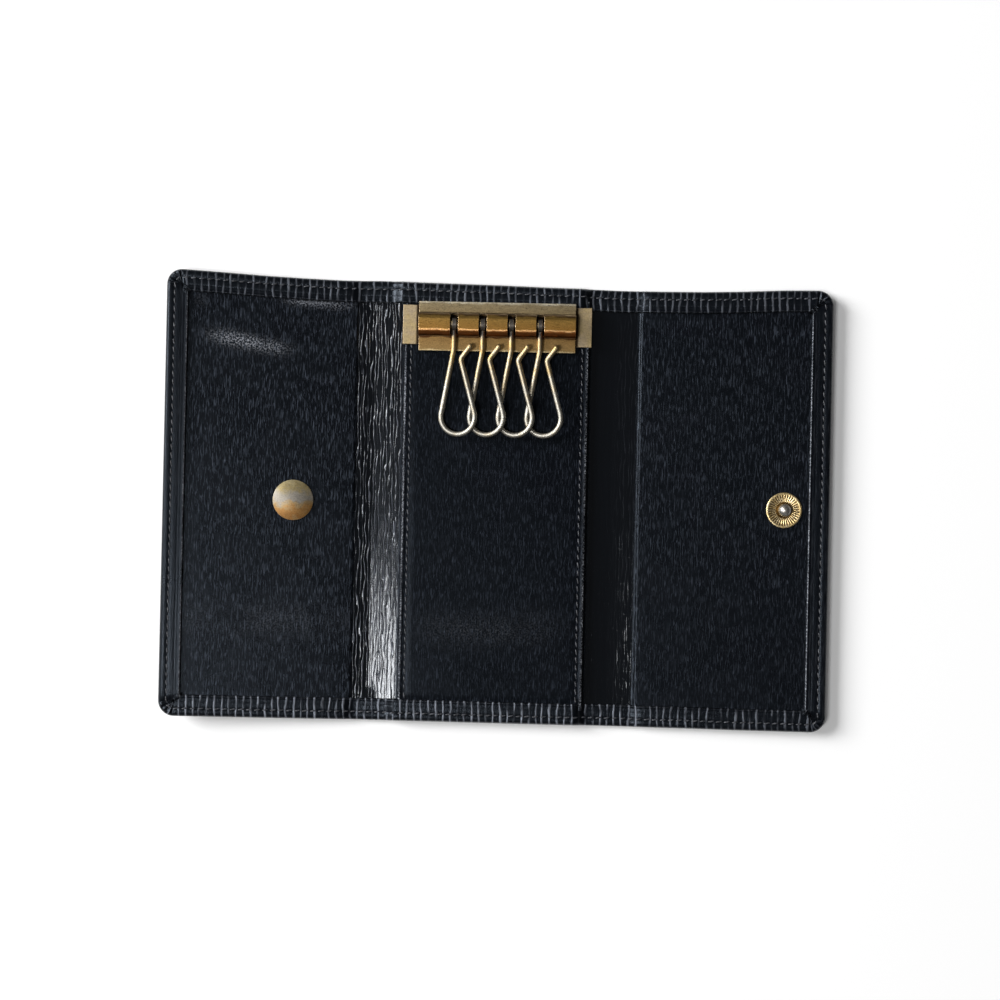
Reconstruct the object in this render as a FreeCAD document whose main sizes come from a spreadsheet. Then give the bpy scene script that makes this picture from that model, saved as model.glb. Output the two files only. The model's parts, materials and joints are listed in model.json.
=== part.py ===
import FreeCAD, Part
import math
import os

from FreeCAD import Placement, Rotation, Vector
from Sketcher import Constraint

# A leather key case that folds in three, opened flat, with a four hook key rail.
# Millimetres. +X is right, +Y is towards the rail, +Z is up from the table.
# The origin lies on the back of the centre, in the middle of its height.
doc = FreeCAD.newDocument("key_case")
sizes = doc.addObject("Spreadsheet::Sheet", "Sizes")

DRIVING_SIZES = [
    # outline and folds
    ("case_height", 105.0, "height of the opened leather"),
    ("fold_left", 26.3, "origin to the fold between centre and left spine"),
    ("fold_right", 22.9, "origin to the fold between centre and right spine"),
    ("spine_width_left", 7.6, "fold to fold across the left spine"),
    ("spine_width_right", 11.1, "fold to fold across the right spine"),
    ("flap_length_left", 45.4, "left flap, fold to outer edge"),
    ("flap_length_right", 45.6, "right flap, fold to outer edge"),
    ("corner_radius", 3.8, "outer corners of the flaps"),
    # layers of leather, board and lining
    ("leather_thick", 0.8, "outer leather"),
    ("board_thick", 0.6, "stiffening board in the flaps"),
    ("lining_thick", 0.5, "lining"),
    ("hem_thick", 0.7, "skived edge turned over the lining"),
    ("hem_width", 5.2, "turned edge, seen from inside"),
    ("ply_gap", 0.05, "room round a layer under the hem"),
    ("fold_gap", 0.15, "room round the rounded end of a spine"),
    ("hem_setback", 1.4, "hem of flap and centre starts this far from a fold"),
    ("spine_hem_setback", 1.0, "hem of a spine starts this far from its folds"),
    ("board_setback", 1.8, "board starts this far from the fold"),
    ("table_gap", 0.03, "room left between the fastener and the table"),
    # key panel
    ("panel_width", 44.0, "key panel"),
    ("panel_shift", 0.45, "key panel centre, left of the origin"),
    ("panel_thick", 0.8, "face leather of the key panel"),
    ("backing_thick", 0.5, "backing of the key panel"),
    ("sleeve_gap", 0.6, "flat space behind the key panel"),
    # key rail
    ("plate_thick", 0.5, "clamp plate"),
    ("plate_bottom", 37.7, "lower edge of the clamp plate"),
    ("plate_top", 47.0, "upper edge of the clamp plate"),
    ("tab_wall", 0.4, "tab wall beside the panel edge"),
    ("tab_lip", 1.2, "tab lip behind the panel"),
    ("tab_lip_thick", 0.35, "tab lip behind the panel"),
    ("ear_thick", 0.6, "ears that hold the rod"),
    ("ear_width", 3.2, "ears that hold the rod"),
    ("ear_rim", 0.2, "ears above the rod"),
    ("rail_width", 37.2, "rail cover"),
    ("rail_sheet", 0.5, "sheet of the rail cover"),
    ("flange_bottom", 36.2, "lower edge of the rail cover"),
    ("barrel_bottom", 39.6, "lower side of the rail barrel"),
    ("barrel_top", 45.2, "upper side of the rail barrel"),
    ("barrel_height", 3.5, "rail barrel above the clamp plate"),
    ("barrel_round", 1.6, "rounded long edges of the rail barrel"),
    ("bar_top", 47.8, "upper edge of the rail cover"),
    ("bar_height", 1.2, "flat bar along the top of the rail cover"),
    ("slot_width", 1.9, "slots for the hooks"),
    ("slot_back", 44.95, "far end of the slots"),
    ("slot_run_in", 0.6, "slots reach this far in front of the barrel"),
    ("rod_place", 42.4, "rod axis above the origin"),
    ("rod_lift", 1.8, "rod axis above the clamp plate"),
    ("rod_radius", 0.8, "rod"),
    ("rod_clearance", 0.06, "hook eye round the rod"),
    # key hooks
    ("hook_pitch", 6.8, "hook to hook"),
    ("hook_wire", 1.25, "hook wire diameter"),
    ("hook_head_radius", 1.65, "flattened eye of the hook"),
    ("hook_head_thick", 1.05, "flattened eye of the hook"),
    ("hook_stem", 6.1, "rod axis to the end of the stem"),
    ("hook_loop_radius", 4.16, "loop, at the middle of the wire"),
    ("hook_loop_side", 1.29, "loop centre beside the stem"),
    ("hook_loop_drop", 21.9, "loop centre below the rod"),
    ("hook_neck_side", 1.72, "neck bend beside the stem"),
    ("hook_neck_drop", 8.2, "neck bend below the rod"),
    ("hook_neck_bend", 1.5, "neck bend radius, at the middle of the wire"),
    ("hook_stem_bend", 5.0, "bend where the stem turns into the loop"),
    ("hook_tip_side", 4.02, "tip beside the stem"),
    ("hook_tip_drop", 5.2, "tip below the rod"),
    ("hook_tip_radius", 0.68, "rounded end of the tip"),
    # press fastener
    ("snap_place", 14.5, "left fastener from its flap fold"),
    ("snap_drop", 0.05, "fasteners below the middle of the height"),
    ("cap_radius", 4.8, "domed caps"),
    ("cap_edge", 0.4, "straight edge of the inner cap"),
    ("cap_rise", 0.9, "dome of the inner cap"),
    ("shank_radius", 2.3, "tubular shank of the inner cap"),
    ("shank_gap", 0.1, "room round a shank in the leather"),
    ("socket_bore", 1.8, "bore of the shank"),
    ("bore_into_cap", 0.4, "bore goes on into the inner cap"),
    ("socket_radius", 3.2, "socket ring"),
    ("socket_height", 0.8, "socket ring"),
    ("socket_lip", 0.2, "lip of the socket"),
    ("socket_mouth", 1.9, "mouth of the socket"),
    ("socket_room", 2.6, "room for the spring in the socket"),
    ("spring_radius", 1.6, "spring ring, at the middle of the wire"),
    ("spring_wire", 0.2, "spring wire radius"),
    ("spring_gap", 0.03, "spring above the socket lip"),
    ("ball_radius", 1.55, "ball of the stud"),
    ("neck_radius", 1.1, "neck of the stud"),
    ("neck_length", 0.6, "neck of the stud above its base"),
    ("base_radius", 4.25, "dished base of the stud"),
    ("base_height", 0.5, "dished base of the stud"),
    ("dish_radius", 3.8, "dish at its mouth"),
    ("dish_floor", 1.9, "dish at its floor"),
    ("dish_depth", 0.3, "dish"),
    ("post_radius", 1.7, "post of the outer cap"),
    ("post_gap", 0.05, "neck of the stud inside the post"),
    ("post_floor", 0.2, "bottom of the post's bore above the leather's back"),
    ("outer_cap_edge", 0.3, "straight edge of the outer cap"),
    ("outer_cap_rise", 0.5, "dome of the outer cap"),
    # one overrun for every cut
    ("overrun", 2.0, "tools reach this far past what they cut"),
]
HOOK_COUNT = 4
HOOK_TWIST_DEG = 13.5
HOOK_SLOPE_DEG = 1.8
EDGE_MATCH_SHARE = 1e-6

for row, (alias, value, note) in enumerate(DRIVING_SIZES, start=1):
    sizes.set(f"A{row}", str(value))
    sizes.setAlias(f"A{row}", alias)
    sizes.set(f"B{row}", note)
doc.recompute()


def of(alias):
    """The expression that reads one driving size."""
    return f"Sizes.{alias}"


def size(alias):
    """The number that one driving size holds."""
    return float(getattr(sizes, alias))


# Heights above a fold axis, which lies on the inside of the spine's lining.
AXIS_HEIGHT = f"({of('leather_thick')} + {of('lining_thick')})"
LEATHER_BACK = f"(-{AXIS_HEIGHT})"
LEATHER_TOP = f"(-{of('lining_thick')})"
FLAP_STACK = f"({of('leather_thick')} + {of('board_thick')} + {of('lining_thick')})"
FLAP_INSIDE = f"({FLAP_STACK} - {AXIS_HEIGHT})"
HALF_HEIGHT = f"({of('case_height')} / 2)"
WALL = of("leather_thick")
FOLD_RADIUS = f"({AXIS_HEIGHT} + {of('fold_gap')})"
CENTRE_WIDTH = f"({of('fold_left')} + {of('fold_right')})"

# Heights above the table for what lies on the centre.
PANEL_BACK = f"({AXIS_HEIGHT} + {of('sleeve_gap')})"
PANEL_MIDDLE = f"({PANEL_BACK} + {of('backing_thick')})"
PANEL_TOP = f"({PANEL_MIDDLE} + {of('panel_thick')})"
PLATE_TOP = f"({PANEL_TOP} + {of('plate_thick')})"
ROD_HEIGHT = f"({PLATE_TOP} + {of('rod_lift')})"


def box(name, x0, x1, y0, y1, z0, z1):
    """A block between six planes."""
    block = doc.addObject("Part::Box", name)
    spans = (("Length", "x", x0, x1), ("Width", "y", y0, y1), ("Height", "z", z0, z1))
    for length, place, low, high in spans:
        block.setExpression(length, f"({high}) - ({low})")
        block.setExpression(f"Placement.Base.{place}", low)
    return block


def cylinder(name, radius, low, high, x="0", y="0"):
    """An upright cylinder between two heights."""
    rod = doc.addObject("Part::Cylinder", name)
    rod.setExpression("Radius", radius)
    rod.setExpression("Height", f"({high}) - ({low})")
    for place, value in (("x", x), ("y", y), ("z", low)):
        rod.setExpression(f"Placement.Base.{place}", value)
    return rod


def bar_along(axis, name, radius, length, x, y, z):
    """A round bar along X or Y that starts at a point."""
    bar = doc.addObject("Part::Cylinder", name)
    bar.Placement = Placement(Vector(), Rotation(Vector(0, 0, 1), axis))
    bar.setExpression("Radius", radius)
    bar.setExpression("Height", length)
    for place, value in (("x", x), ("y", y), ("z", z)):
        bar.setExpression(f"Placement.Base.{place}", value)
    return bar


def fused(name, shapes):
    """One solid made of several that touch."""
    whole = doc.addObject("Part::MultiFuse", name)
    whole.Shapes = shapes
    whole.Refine = True
    return whole


def cut(name, base, tools):
    """A solid with one or more tools taken out of it."""
    tool = tools[0] if len(tools) == 1 else fused(f"{name}_tools", tools)
    rest = doc.addObject("Part::Cut", name)
    rest.Base = base
    rest.Tool = tool
    rest.Refine = True
    return rest


def new_sketch(body, name, plane, level):
    """An empty sketch on one of a body's planes, raised to a level."""
    sketch = body.newObject("Sketcher::SketchObject", name)
    origin = next(item for item in body.Origin.OriginFeatures if item.Role == plane)
    sketch.AttachmentSupport = [(origin, "")]
    sketch.MapMode = "FlatFace"
    sketch.setExpression("AttachmentOffset.Base.z", level)
    return sketch


def tie(sketch, constraint, value):
    """Adds a constraint whose value comes from the sheet."""
    number = sketch.addConstraint(constraint)
    sketch.setExpression(f"Constraints[{number}]", value)


def rectangle(body, name, plane, x0, x1, y0, y1, level="0"):
    """A sketched rectangle whose two opposite corners are tied to the sheet."""
    sketch = new_sketch(body, name, plane, level)
    corners = [Vector(0, 0), Vector(1, 0), Vector(1, 1), Vector(0, 1)]
    for first, second in zip(corners, corners[1:] + corners[:1]):
        sketch.addGeometry(Part.LineSegment(first, second))
    for line in range(len(corners)):
        sketch.addConstraint(Constraint("Coincident", line, 2, (line + 1) % len(corners), 1))
    for line, x, y in ((0, x0, y0), (2, x1, y1)):
        sketch.addConstraint(Constraint("Horizontal", line))
        sketch.addConstraint(Constraint("Vertical", line + 1))
        tie(sketch, Constraint("DistanceX", -1, 1, line, 1, 1.0), x)
        tie(sketch, Constraint("DistanceY", -1, 1, line, 1, 1.0), y)
    return sketch


def circle(body, name, plane, x, y, radius, level="0"):
    """A sketched circle whose centre and radius are tied to the sheet."""
    sketch = new_sketch(body, name, plane, level)
    sketch.addGeometry(Part.Circle(Vector(1, 1), Vector(0, 0, 1), 1))
    tie(sketch, Constraint("DistanceX", -1, 1, 0, 3, 1.0), x)
    tie(sketch, Constraint("DistanceY", -1, 1, 0, 3, 1.0), y)
    tie(sketch, Constraint("Radius", 0, 1.0), radius)
    return sketch


def pad(body, name, sketch, length):
    """A pad of a sketch."""
    feature = body.newObject("PartDesign::Pad", name)
    feature.Profile = sketch
    feature.setExpression("Length", length)
    return feature


def pocket(body, name, sketch, depth):
    """A pocket down from a sketch, which has to take something away."""
    doc.recompute()
    before = body.Shape.Volume
    feature = body.newObject("PartDesign::Pocket", name)
    feature.Profile = sketch
    feature.setExpression("Length", depth)
    doc.recompute()
    if not body.Shape.Volume < before:
        raise ValueError(f"{name} cuts nothing")
    return feature


def round_edges(body, name, base, place, value, radius):
    """Rounds the edges of a body that lie at one X or one Z and keep their Y."""
    doc.recompute()
    match = EDGE_MATCH_SHARE * abs(value)
    names = []
    for number, edge in enumerate(base.Shape.Edges, start=1):
        ends = [vertex.Point for vertex in edge.Vertexes]
        if len(ends) == 2 and all(abs(getattr(end, place) - value) < match for end in ends):
            if abs(ends[0].y - ends[1].y) < match:
                names.append(f"Edge{number}")
    feature = body.newObject("PartDesign::Fillet", name)
    feature.Base = (base, names)
    feature.setExpression("Radius", radius)
    doc.recompute()
    return feature


def new_body(label):
    """An empty body with its label."""
    body = doc.addObject("PartDesign::Body", label)
    body.Label = label
    return body


def along(side, near, far):
    """Low and high X of a stretch that runs outwards from a fold."""
    if side > 0:
        return f"({near})", f"({far})"
    return f"(-({far}))", f"(-({near}))"


# Press fastener: where it sits on each flap, so that the two halves meet when both flaps are shut.
SNAP_PLACE = {
    -1: of("snap_place"),
    1: f"({CENTRE_WIDTH} - {of('snap_place')})",
}
SNAP_Y = f"(-{of('snap_drop')})"
SNAP_HOLE = {
    -1: f"({of('shank_radius')} + {of('shank_gap')})",
    1: f"({of('post_radius')} + {of('shank_gap')})",
}
OUTER_CAP_HEIGHT = f"({of('outer_cap_edge')} + {of('outer_cap_rise')})"


def rest_tilt(side):
    """How far a flap leans up at rest, because the fastener on its back stands on the table."""
    if side < 0:
        reach = f"({SNAP_PLACE[side]} - {of('socket_radius')})"
        drop = f"({AXIS_HEIGHT} + {of('socket_height')})"
    else:
        reach = SNAP_PLACE[side]
        drop = f"({AXIS_HEIGHT} + {OUTER_CAP_HEIGHT})"
    span = f"sqrt({reach}^2 + {drop}^2)"
    return f"atan({drop} / {reach}) - asin(({AXIS_HEIGHT} - {of('table_gap')}) / {span})"


def flap_fold(side):
    """X of the fold between a spine and its flap."""
    if side < 0:
        return f"(-({of('fold_left')} + {of('spine_width_left')}))"
    return f"({of('fold_right')} + {of('spine_width_right')})"


def place_on_flap(piece, side):
    """Stands a piece in its flap's frame, whose origin is the fold axis."""
    piece.Placement = Placement(Vector(), Rotation(Vector(0, -side, 0), 1))
    piece.setExpression("Placement.Rotation.Angle", rest_tilt(side))
    piece.setExpression("Placement.Base.x", flap_fold(side))
    piece.setExpression("Placement.Base.z", AXIS_HEIGHT)


def flap_pieces(side, word):
    """Cover with its turned edge, board and lining of one flap."""
    length = of(f"flap_length_{word}")
    hem_top = f"({FLAP_INSIDE} + {of('hem_thick')})"
    inset = f"({WALL} + {of('ply_gap')})"
    snap_x = along(side, SNAP_PLACE[side], SNAP_PLACE[side])[0]

    cover = new_body(f"{word}_flap_cover")
    x0, x1 = along(side, "0", length)
    outline = rectangle(cover, f"{word}_outline", "XY_Plane", x0, x1, f"-{HALF_HEIGHT}", HALF_HEIGHT,
                        LEATHER_BACK)
    pad(cover, f"{word}_leather", outline, f"{FLAP_STACK} + {of('hem_thick')}")
    x0, x1 = along(side, f"-{of('overrun')}", f"{length} - {WALL}")
    reach = f"({HALF_HEIGHT} - {WALL})"
    well = rectangle(cover, f"{word}_well", "XY_Plane", x0, x1, f"-{reach}", reach, FLAP_INSIDE)
    room = pocket(cover, f"{word}_room", well, f"{of('board_thick')} + {of('lining_thick')}")
    far_well = side * (size(f"flap_length_{word}") - size("leather_thick"))
    soft = round_edges(cover, f"{word}_room_corners", room, "x", far_well, f"{of('corner_radius')} - {WALL}")
    far = side * size(f"flap_length_{word}")
    round_edges(cover, f"{word}_corners", soft, "x", far, of("corner_radius"))
    x0, x1 = along(side, f"-{of('overrun')}", f"{length} - {of('hem_width')}")
    reach = f"({HALF_HEIGHT} - {of('hem_width')})"
    window = rectangle(cover, f"{word}_window", "XY_Plane", x0, x1, f"-{reach}", reach, hem_top)
    pocket(cover, f"{word}_opening", window, of("hem_thick"))
    x0, x1 = along(side, f"-{of('overrun')}", of("hem_setback"))
    reach = f"({HALF_HEIGHT} + {of('overrun')})"
    ends = rectangle(cover, f"{word}_hem_ends", "XY_Plane", x0, x1, f"-{reach}", reach, hem_top)
    pocket(cover, f"{word}_hem_setback", ends, of("hem_thick"))
    hollow = circle(cover, f"{word}_fold_round", "XZ_Plane", "0", "0", FOLD_RADIUS, reach)
    pocket(cover, f"{word}_fold_hollow", hollow, f"2 * {reach}")
    hole = circle(cover, f"{word}_hole", "XY_Plane", snap_x, SNAP_Y, SNAP_HOLE[side], LEATHER_TOP)
    cover.Tip = pocket(cover, f"{word}_shank_hole", hole, of("leather_thick"))

    layers = [cover]
    for name, near, low, thick in (
        ("board", of("board_setback"), LEATHER_TOP, of("board_thick")),
        ("lining", FOLD_RADIUS, f"({LEATHER_TOP} + {of('board_thick')})", of("lining_thick")),
    ):
        layer = new_body(f"{word}_flap_{name}")
        x0, x1 = along(side, near, f"{length} - {inset}")
        reach = f"({HALF_HEIGHT} - {inset})"
        outline = rectangle(layer, f"{word}_{name}_outline", "XY_Plane", x0, x1, f"-{reach}", reach, low)
        base = pad(layer, f"{word}_{name}_sheet", outline, thick)
        far = side * (size(f"flap_length_{word}") - size("leather_thick") - size("ply_gap"))
        round_edges(layer, f"{word}_{name}_corners", base, "x", far, f"{of('corner_radius')} - {inset}")
        top = f"({low} + {thick})"
        hole = circle(layer, f"{word}_{name}_hole", "XY_Plane", snap_x, SNAP_Y, SNAP_HOLE[side], top)
        layer.Tip = pocket(layer, f"{word}_{name}_shank_hole", hole, thick)
        layers.append(layer)
    for layer in layers:
        place_on_flap(layer, side)
    return layers


def nose(name, radius, x, side):
    """The rounded end of a spine: a quarter of a round bar about a fold axis."""
    quarter = doc.addObject("Part::Cylinder", name)
    turn = Rotation(Vector(1, 0, 0), -90)
    if side < 0:
        turn = turn.multiply(Rotation(Vector(0, 0, 1), 90))
    quarter.Placement = Placement(Vector(), turn)
    quarter.Angle = 90
    quarter.setExpression("Radius", radius)
    quarter.setExpression("Height", of("case_height"))
    quarter.setExpression("Placement.Base.x", x)
    quarter.setExpression("Placement.Base.y", f"-{HALF_HEIGHT}")
    return quarter


def spine_bar(name, side, width, thick):
    """A flat bar, rounded at both folds, that hangs a thickness below the fold axes."""
    x0, x1 = along(side, "0", width)
    slab = box(f"{name}_slab", x0, x1, f"-{HALF_HEIGHT}", HALF_HEIGHT, f"-({thick})", "0")
    left = nose(f"{name}_left_nose", thick, x0, -1)
    right = nose(f"{name}_right_nose", thick, x1, 1)
    return fused(name, [slab, left, right])


def spine_pieces(side, word):
    """Cover and lining of one spine, in the frame of its fold with the centre."""
    width = of(f"spine_width_{word}")
    inset = f"({WALL} + {of('ply_gap')})"
    whole = spine_bar(f"{word}_spine_bar", side, width, AXIS_HEIGHT)
    room = spine_bar(f"{word}_spine_room", side, width, of("lining_thick"))
    shell = cut(f"{word}_spine_shell", whole, [room])
    x0, x1 = along(side, of("spine_hem_setback"), f"{width} - {of('spine_hem_setback')}")
    edges = [shell]
    for end in (-1, 1):
        rim = (f"{HALF_HEIGHT} - {WALL}", HALF_HEIGHT)
        hem = (f"{HALF_HEIGHT} - {of('hem_width')}", HALF_HEIGHT)
        rim = along(end, *rim)
        hem = along(end, *hem)
        edges.append(box(f"{word}_spine_rim", x0, x1, rim[0], rim[1], LEATHER_TOP, of("hem_thick")))
        edges.append(box(f"{word}_spine_hem", x0, x1, hem[0], hem[1], "0", of("hem_thick")))
    cover = fused(f"{word}_spine_cover", edges)
    sheet = spine_bar(f"{word}_spine_sheet", side, width, of("lining_thick"))
    reach = f"({HALF_HEIGHT} - {inset})"
    x0, x1 = along(side, f"-{of('lining_thick')}", f"{width} + {of('lining_thick')}")
    keep = box(f"{word}_spine_keep", x0, x1, f"-{reach}", reach, f"-{of('lining_thick')}", "0")
    lining = doc.addObject("Part::Common", f"{word}_spine_lining")
    lining.Base = sheet
    lining.Tool = keep
    fold = f"(-{of('fold_left')})" if side < 0 else of("fold_right")
    for piece in (cover, lining):
        piece.setExpression("Placement.Base.x", fold)
        piece.setExpression("Placement.Base.z", AXIS_HEIGHT)
    return [cover, lining]


def centre_pieces():
    """Cover and lining of the centre, in the table's frame."""
    low = f"(-{of('fold_left')})"
    high = of("fold_right")
    hem_low = PANEL_MIDDLE
    hem_high = f"({PANEL_MIDDLE} + {of('hem_thick')})"
    over = of("overrun")
    whole = box("centre_block", low, high, f"-{HALF_HEIGHT}", HALF_HEIGHT, "0", hem_high)
    reach = f"({HALF_HEIGHT} - {WALL})"
    past_low = f"{low} - {over}"
    past_high = f"{high} + {over}"
    floor = of("leather_thick")
    room = box("centre_room", past_low, past_high, f"-{reach}", reach, floor, hem_low)
    reach = f"({HALF_HEIGHT} - {of('hem_width')})"
    top = f"{hem_high} + {over}"
    window = box("centre_window", past_low, past_high, f"-{reach}", reach, floor, top)
    tools = [room, window]
    for name, x0, x1 in (
        ("left", past_low, f"{low} + {of('hem_setback')}"),
        ("right", f"{high} - {of('hem_setback')}", past_high),
    ):
        reach = f"({HALF_HEIGHT} + {over})"
        tools.append(box(f"centre_{name}_setback", x0, x1, f"-{reach}", reach, AXIS_HEIGHT, top))
        fold = low if name == "left" else high
        bar = bar_along(Vector(0, 1, 0), f"centre_{name}_hollow", FOLD_RADIUS, f"2 * {reach}",
                        fold, f"-{reach}", AXIS_HEIGHT)
        tools.append(bar)
    cover = cut("centre_cover", whole, tools)
    reach = f"({HALF_HEIGHT} - {WALL} - {of('ply_gap')})"
    x0 = f"{low} + {FOLD_RADIUS}"
    x1 = f"{high} - {FOLD_RADIUS}"
    lining = box("centre_lining", x0, x1, f"-{reach}", reach, floor, AXIS_HEIGHT)
    return [cover, lining]


PANEL_LEFT = f"(-{of('panel_shift')} - {of('panel_width')} / 2)"
PANEL_RIGHT = f"(-{of('panel_shift')} + {of('panel_width')} / 2)"
RAIL_MIDDLE = f"(-{of('panel_shift')})"


def key_panel_pieces():
    """Face and backing of the key panel, held under the hems at its two ends."""
    inner = f"({HALF_HEIGHT} - {of('hem_width')} - {of('ply_gap')})"
    outer = f"({HALF_HEIGHT} - {WALL} - {of('ply_gap')})"
    face = box("key_panel_face", PANEL_LEFT, PANEL_RIGHT, f"-{inner}", inner, PANEL_MIDDLE, PANEL_TOP)
    sheet = box("backing_sheet", PANEL_LEFT, PANEL_RIGHT, f"-{outer}", outer, PANEL_BACK, PANEL_MIDDLE)
    x0 = f"{PANEL_LEFT} + {of('ply_gap')}"
    low = f"(-{of('fold_left')} + {FOLD_RADIUS})"
    high = f"({of('fold_right')} - {FOLD_RADIUS})"
    ends = [sheet]
    for end in (-1, 1):
        y0, y1 = along(end, f"{HALF_HEIGHT} - {of('hem_width')}", outer)
        ends.append(box("backing_end", f"max({x0}; {low})", f"min({PANEL_RIGHT}; {high})",
                        y0, y1, AXIS_HEIGHT, PANEL_BACK))
    return [face, fused("key_panel_backing", ends)]


def rail_pieces():
    """Clamp plate with its tabs and ears, slotted cover and rod of the key rail."""
    half = f"({of('panel_width')} / 2 + {of('ply_gap')})"
    lip_low = f"({PANEL_BACK} - {of('tab_lip_thick')})"
    y0 = of("plate_bottom")
    y1 = of("plate_top")
    outside = f"({half} + {of('tab_wall')})"
    parts = [box("plate_sheet", f"{RAIL_MIDDLE} - {outside}", f"{RAIL_MIDDLE} + {outside}", y0, y1,
                 PANEL_TOP, PLATE_TOP)]
    ear_out = f"({of('rail_width')} / 2 - {of('rail_sheet')})"
    ear_low = f"{of('rod_place')} - {of('ear_width')} / 2"
    ear_high = f"{of('rod_place')} + {of('ear_width')} / 2"
    ear_top = f"{ROD_HEIGHT} + {of('rod_radius')} + {of('ear_rim')}"
    for end in (-1, 1):
        for name, near, far, front, back, low, high in (
            ("tab_side", half, outside, y0, y1, lip_low, PLATE_TOP),
            ("tab_hook", f"{half} - {of('tab_lip')}", outside, y0, y1, lip_low, PANEL_BACK),
            ("rod_ear", f"{ear_out} - {of('ear_thick')}", ear_out, ear_low, ear_high, PLATE_TOP, ear_top),
        ):
            x0, x1 = along(end, near, far)
            parts.append(box(name, f"{RAIL_MIDDLE} + {x0}", f"{RAIL_MIDDLE} + {x1}", front, back, low, high))
    rod_start = f"{RAIL_MIDDLE} - {ear_out}"
    rod_length = f"2 * {ear_out}"
    drill = bar_along(Vector(1, 0, 0), "rod_drill", of("rod_radius"), rod_length, rod_start,
                      of("rod_place"), ROD_HEIGHT)
    plate = cut("rail_clamp_plate", fused("plate_blank", parts), [drill])
    rod = bar_along(Vector(1, 0, 0), "hook_rod", of("rod_radius"), rod_length, rod_start,
                    of("rod_place"), ROD_HEIGHT)
    return [plate, rail_cover(), rod]


def rail_cover():
    """The pressed cover: flange, rounded barrel and flat bar, with a slot for each hook."""
    body = new_body("rail_cover")
    start = f"({RAIL_MIDDLE} - {of('rail_width')} / 2)"
    top = f"({PLATE_TOP} + {of('barrel_height')})"
    flange_top = f"({PLATE_TOP} + {of('rail_sheet')})"
    barrel = rectangle(body, "barrel_outline", "YZ_Plane", of("barrel_bottom"), of("barrel_top"),
                       PLATE_TOP, top, start)
    base = pad(body, "barrel", barrel, of("rail_width"))
    round_edges(body, "barrel_rounds", base, "z", barrel_top_height(), of("barrel_round"))
    y0 = f"{of('barrel_bottom')} + {of('rail_sheet')}"
    y1 = f"{of('barrel_top')} - {of('rail_sheet')}"
    end = f"({RAIL_MIDDLE} + {of('rail_width')} / 2)"
    room = rectangle(body, "barrel_room", "YZ_Plane", y0, y1, f"{PLATE_TOP} - {of('overrun')}",
                     f"{top} - {of('rail_sheet')}", end)
    hollow = pocket(body, "barrel_hollow", room, of("rail_width"))
    inside = barrel_top_height() - size("rail_sheet")
    inner_round = f"{of('barrel_round')} - {of('rail_sheet')}"
    round_edges(body, "barrel_inner_rounds", hollow, "z", inside, inner_round)
    flange = rectangle(body, "flange_outline", "YZ_Plane", of("flange_bottom"), y0, PLATE_TOP, flange_top,
                       start)
    pad(body, "flange", flange, of("rail_width"))
    bar = rectangle(body, "bar_outline", "YZ_Plane", y1, of("bar_top"), PLATE_TOP,
                    f"{PLATE_TOP} + {of('bar_height')}", start)
    pad(body, "bar", bar, of("rail_width"))
    for number in range(HOOK_COUNT):
        x0 = f"{hook_x(number)} - {of('slot_width')} / 2"
        x1 = f"{hook_x(number)} + {of('slot_width')} / 2"
        slot = rectangle(body, f"slot_outline_{number + 1}", "XY_Plane", x0, x1,
                         f"{of('barrel_bottom')} - {of('slot_run_in')}", of("slot_back"), top)
        body.Tip = pocket(body, f"slot_{number + 1}", slot, f"{top} - {flange_top}")
    return body


def barrel_top_height():
    """Height of the rail barrel's top above the table, as a number."""
    layers = ["leather_thick", "lining_thick", "sleeve_gap", "backing_thick", "panel_thick", "plate_thick"]
    return sum(size(layer) for layer in layers) + size("barrel_height")


def hook_x(number):
    """X of a hook's stem."""
    steps = number - (HOOK_COUNT - 1) / 2
    return f"({RAIL_MIDDLE} + {steps} * {of('hook_pitch')})"


def tangent_point(start, centre, radius, turn):
    """Where a line from a point touches a circle, on the side that turn gives."""
    reach = centre - start
    angle = math.atan2(reach.y, reach.x) + turn * math.asin(radius / reach.Length)
    run = math.sqrt(reach.Length ** 2 - radius ** 2)
    return start + Vector(math.cos(angle), math.sin(angle)) * run


def corner_arc(before, corner, after, radius):
    """An arc that rounds the corner between two straight runs."""
    back = (before - corner).normalize()
    ahead = (after - corner).normalize()
    half = back.getAngle(ahead) / 2
    first = corner + back * (radius / math.tan(half))
    last = corner + ahead * (radius / math.tan(half))
    inward = (back + ahead).normalize()
    middle = corner + inward * (radius / math.sin(half) - radius)
    return first, middle, last


def wire_run(start, end, radius):
    """A straight length of round wire."""
    run = end - start
    return Part.makeCylinder(radius, run.Length, start, run)


def wire_bend(first, middle, last, radius):
    """A length of round wire bent through three points."""
    bend = Part.Arc(first, middle, last).toShape().Curve
    spread = (first - bend.Center).cross(last - bend.Center)
    inside = (first - bend.Center).cross(middle - bend.Center)
    angle = math.degrees((first - bend.Center).getAngle(last - bend.Center))
    if spread.dot(inside) < 0:
        angle = 360 - angle
    ring = Part.Wire([Part.Circle(first, inside.cross(first - bend.Center), radius).toShape()])
    return Part.Face(ring).revolve(bend.Center, inside, angle)


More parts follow.
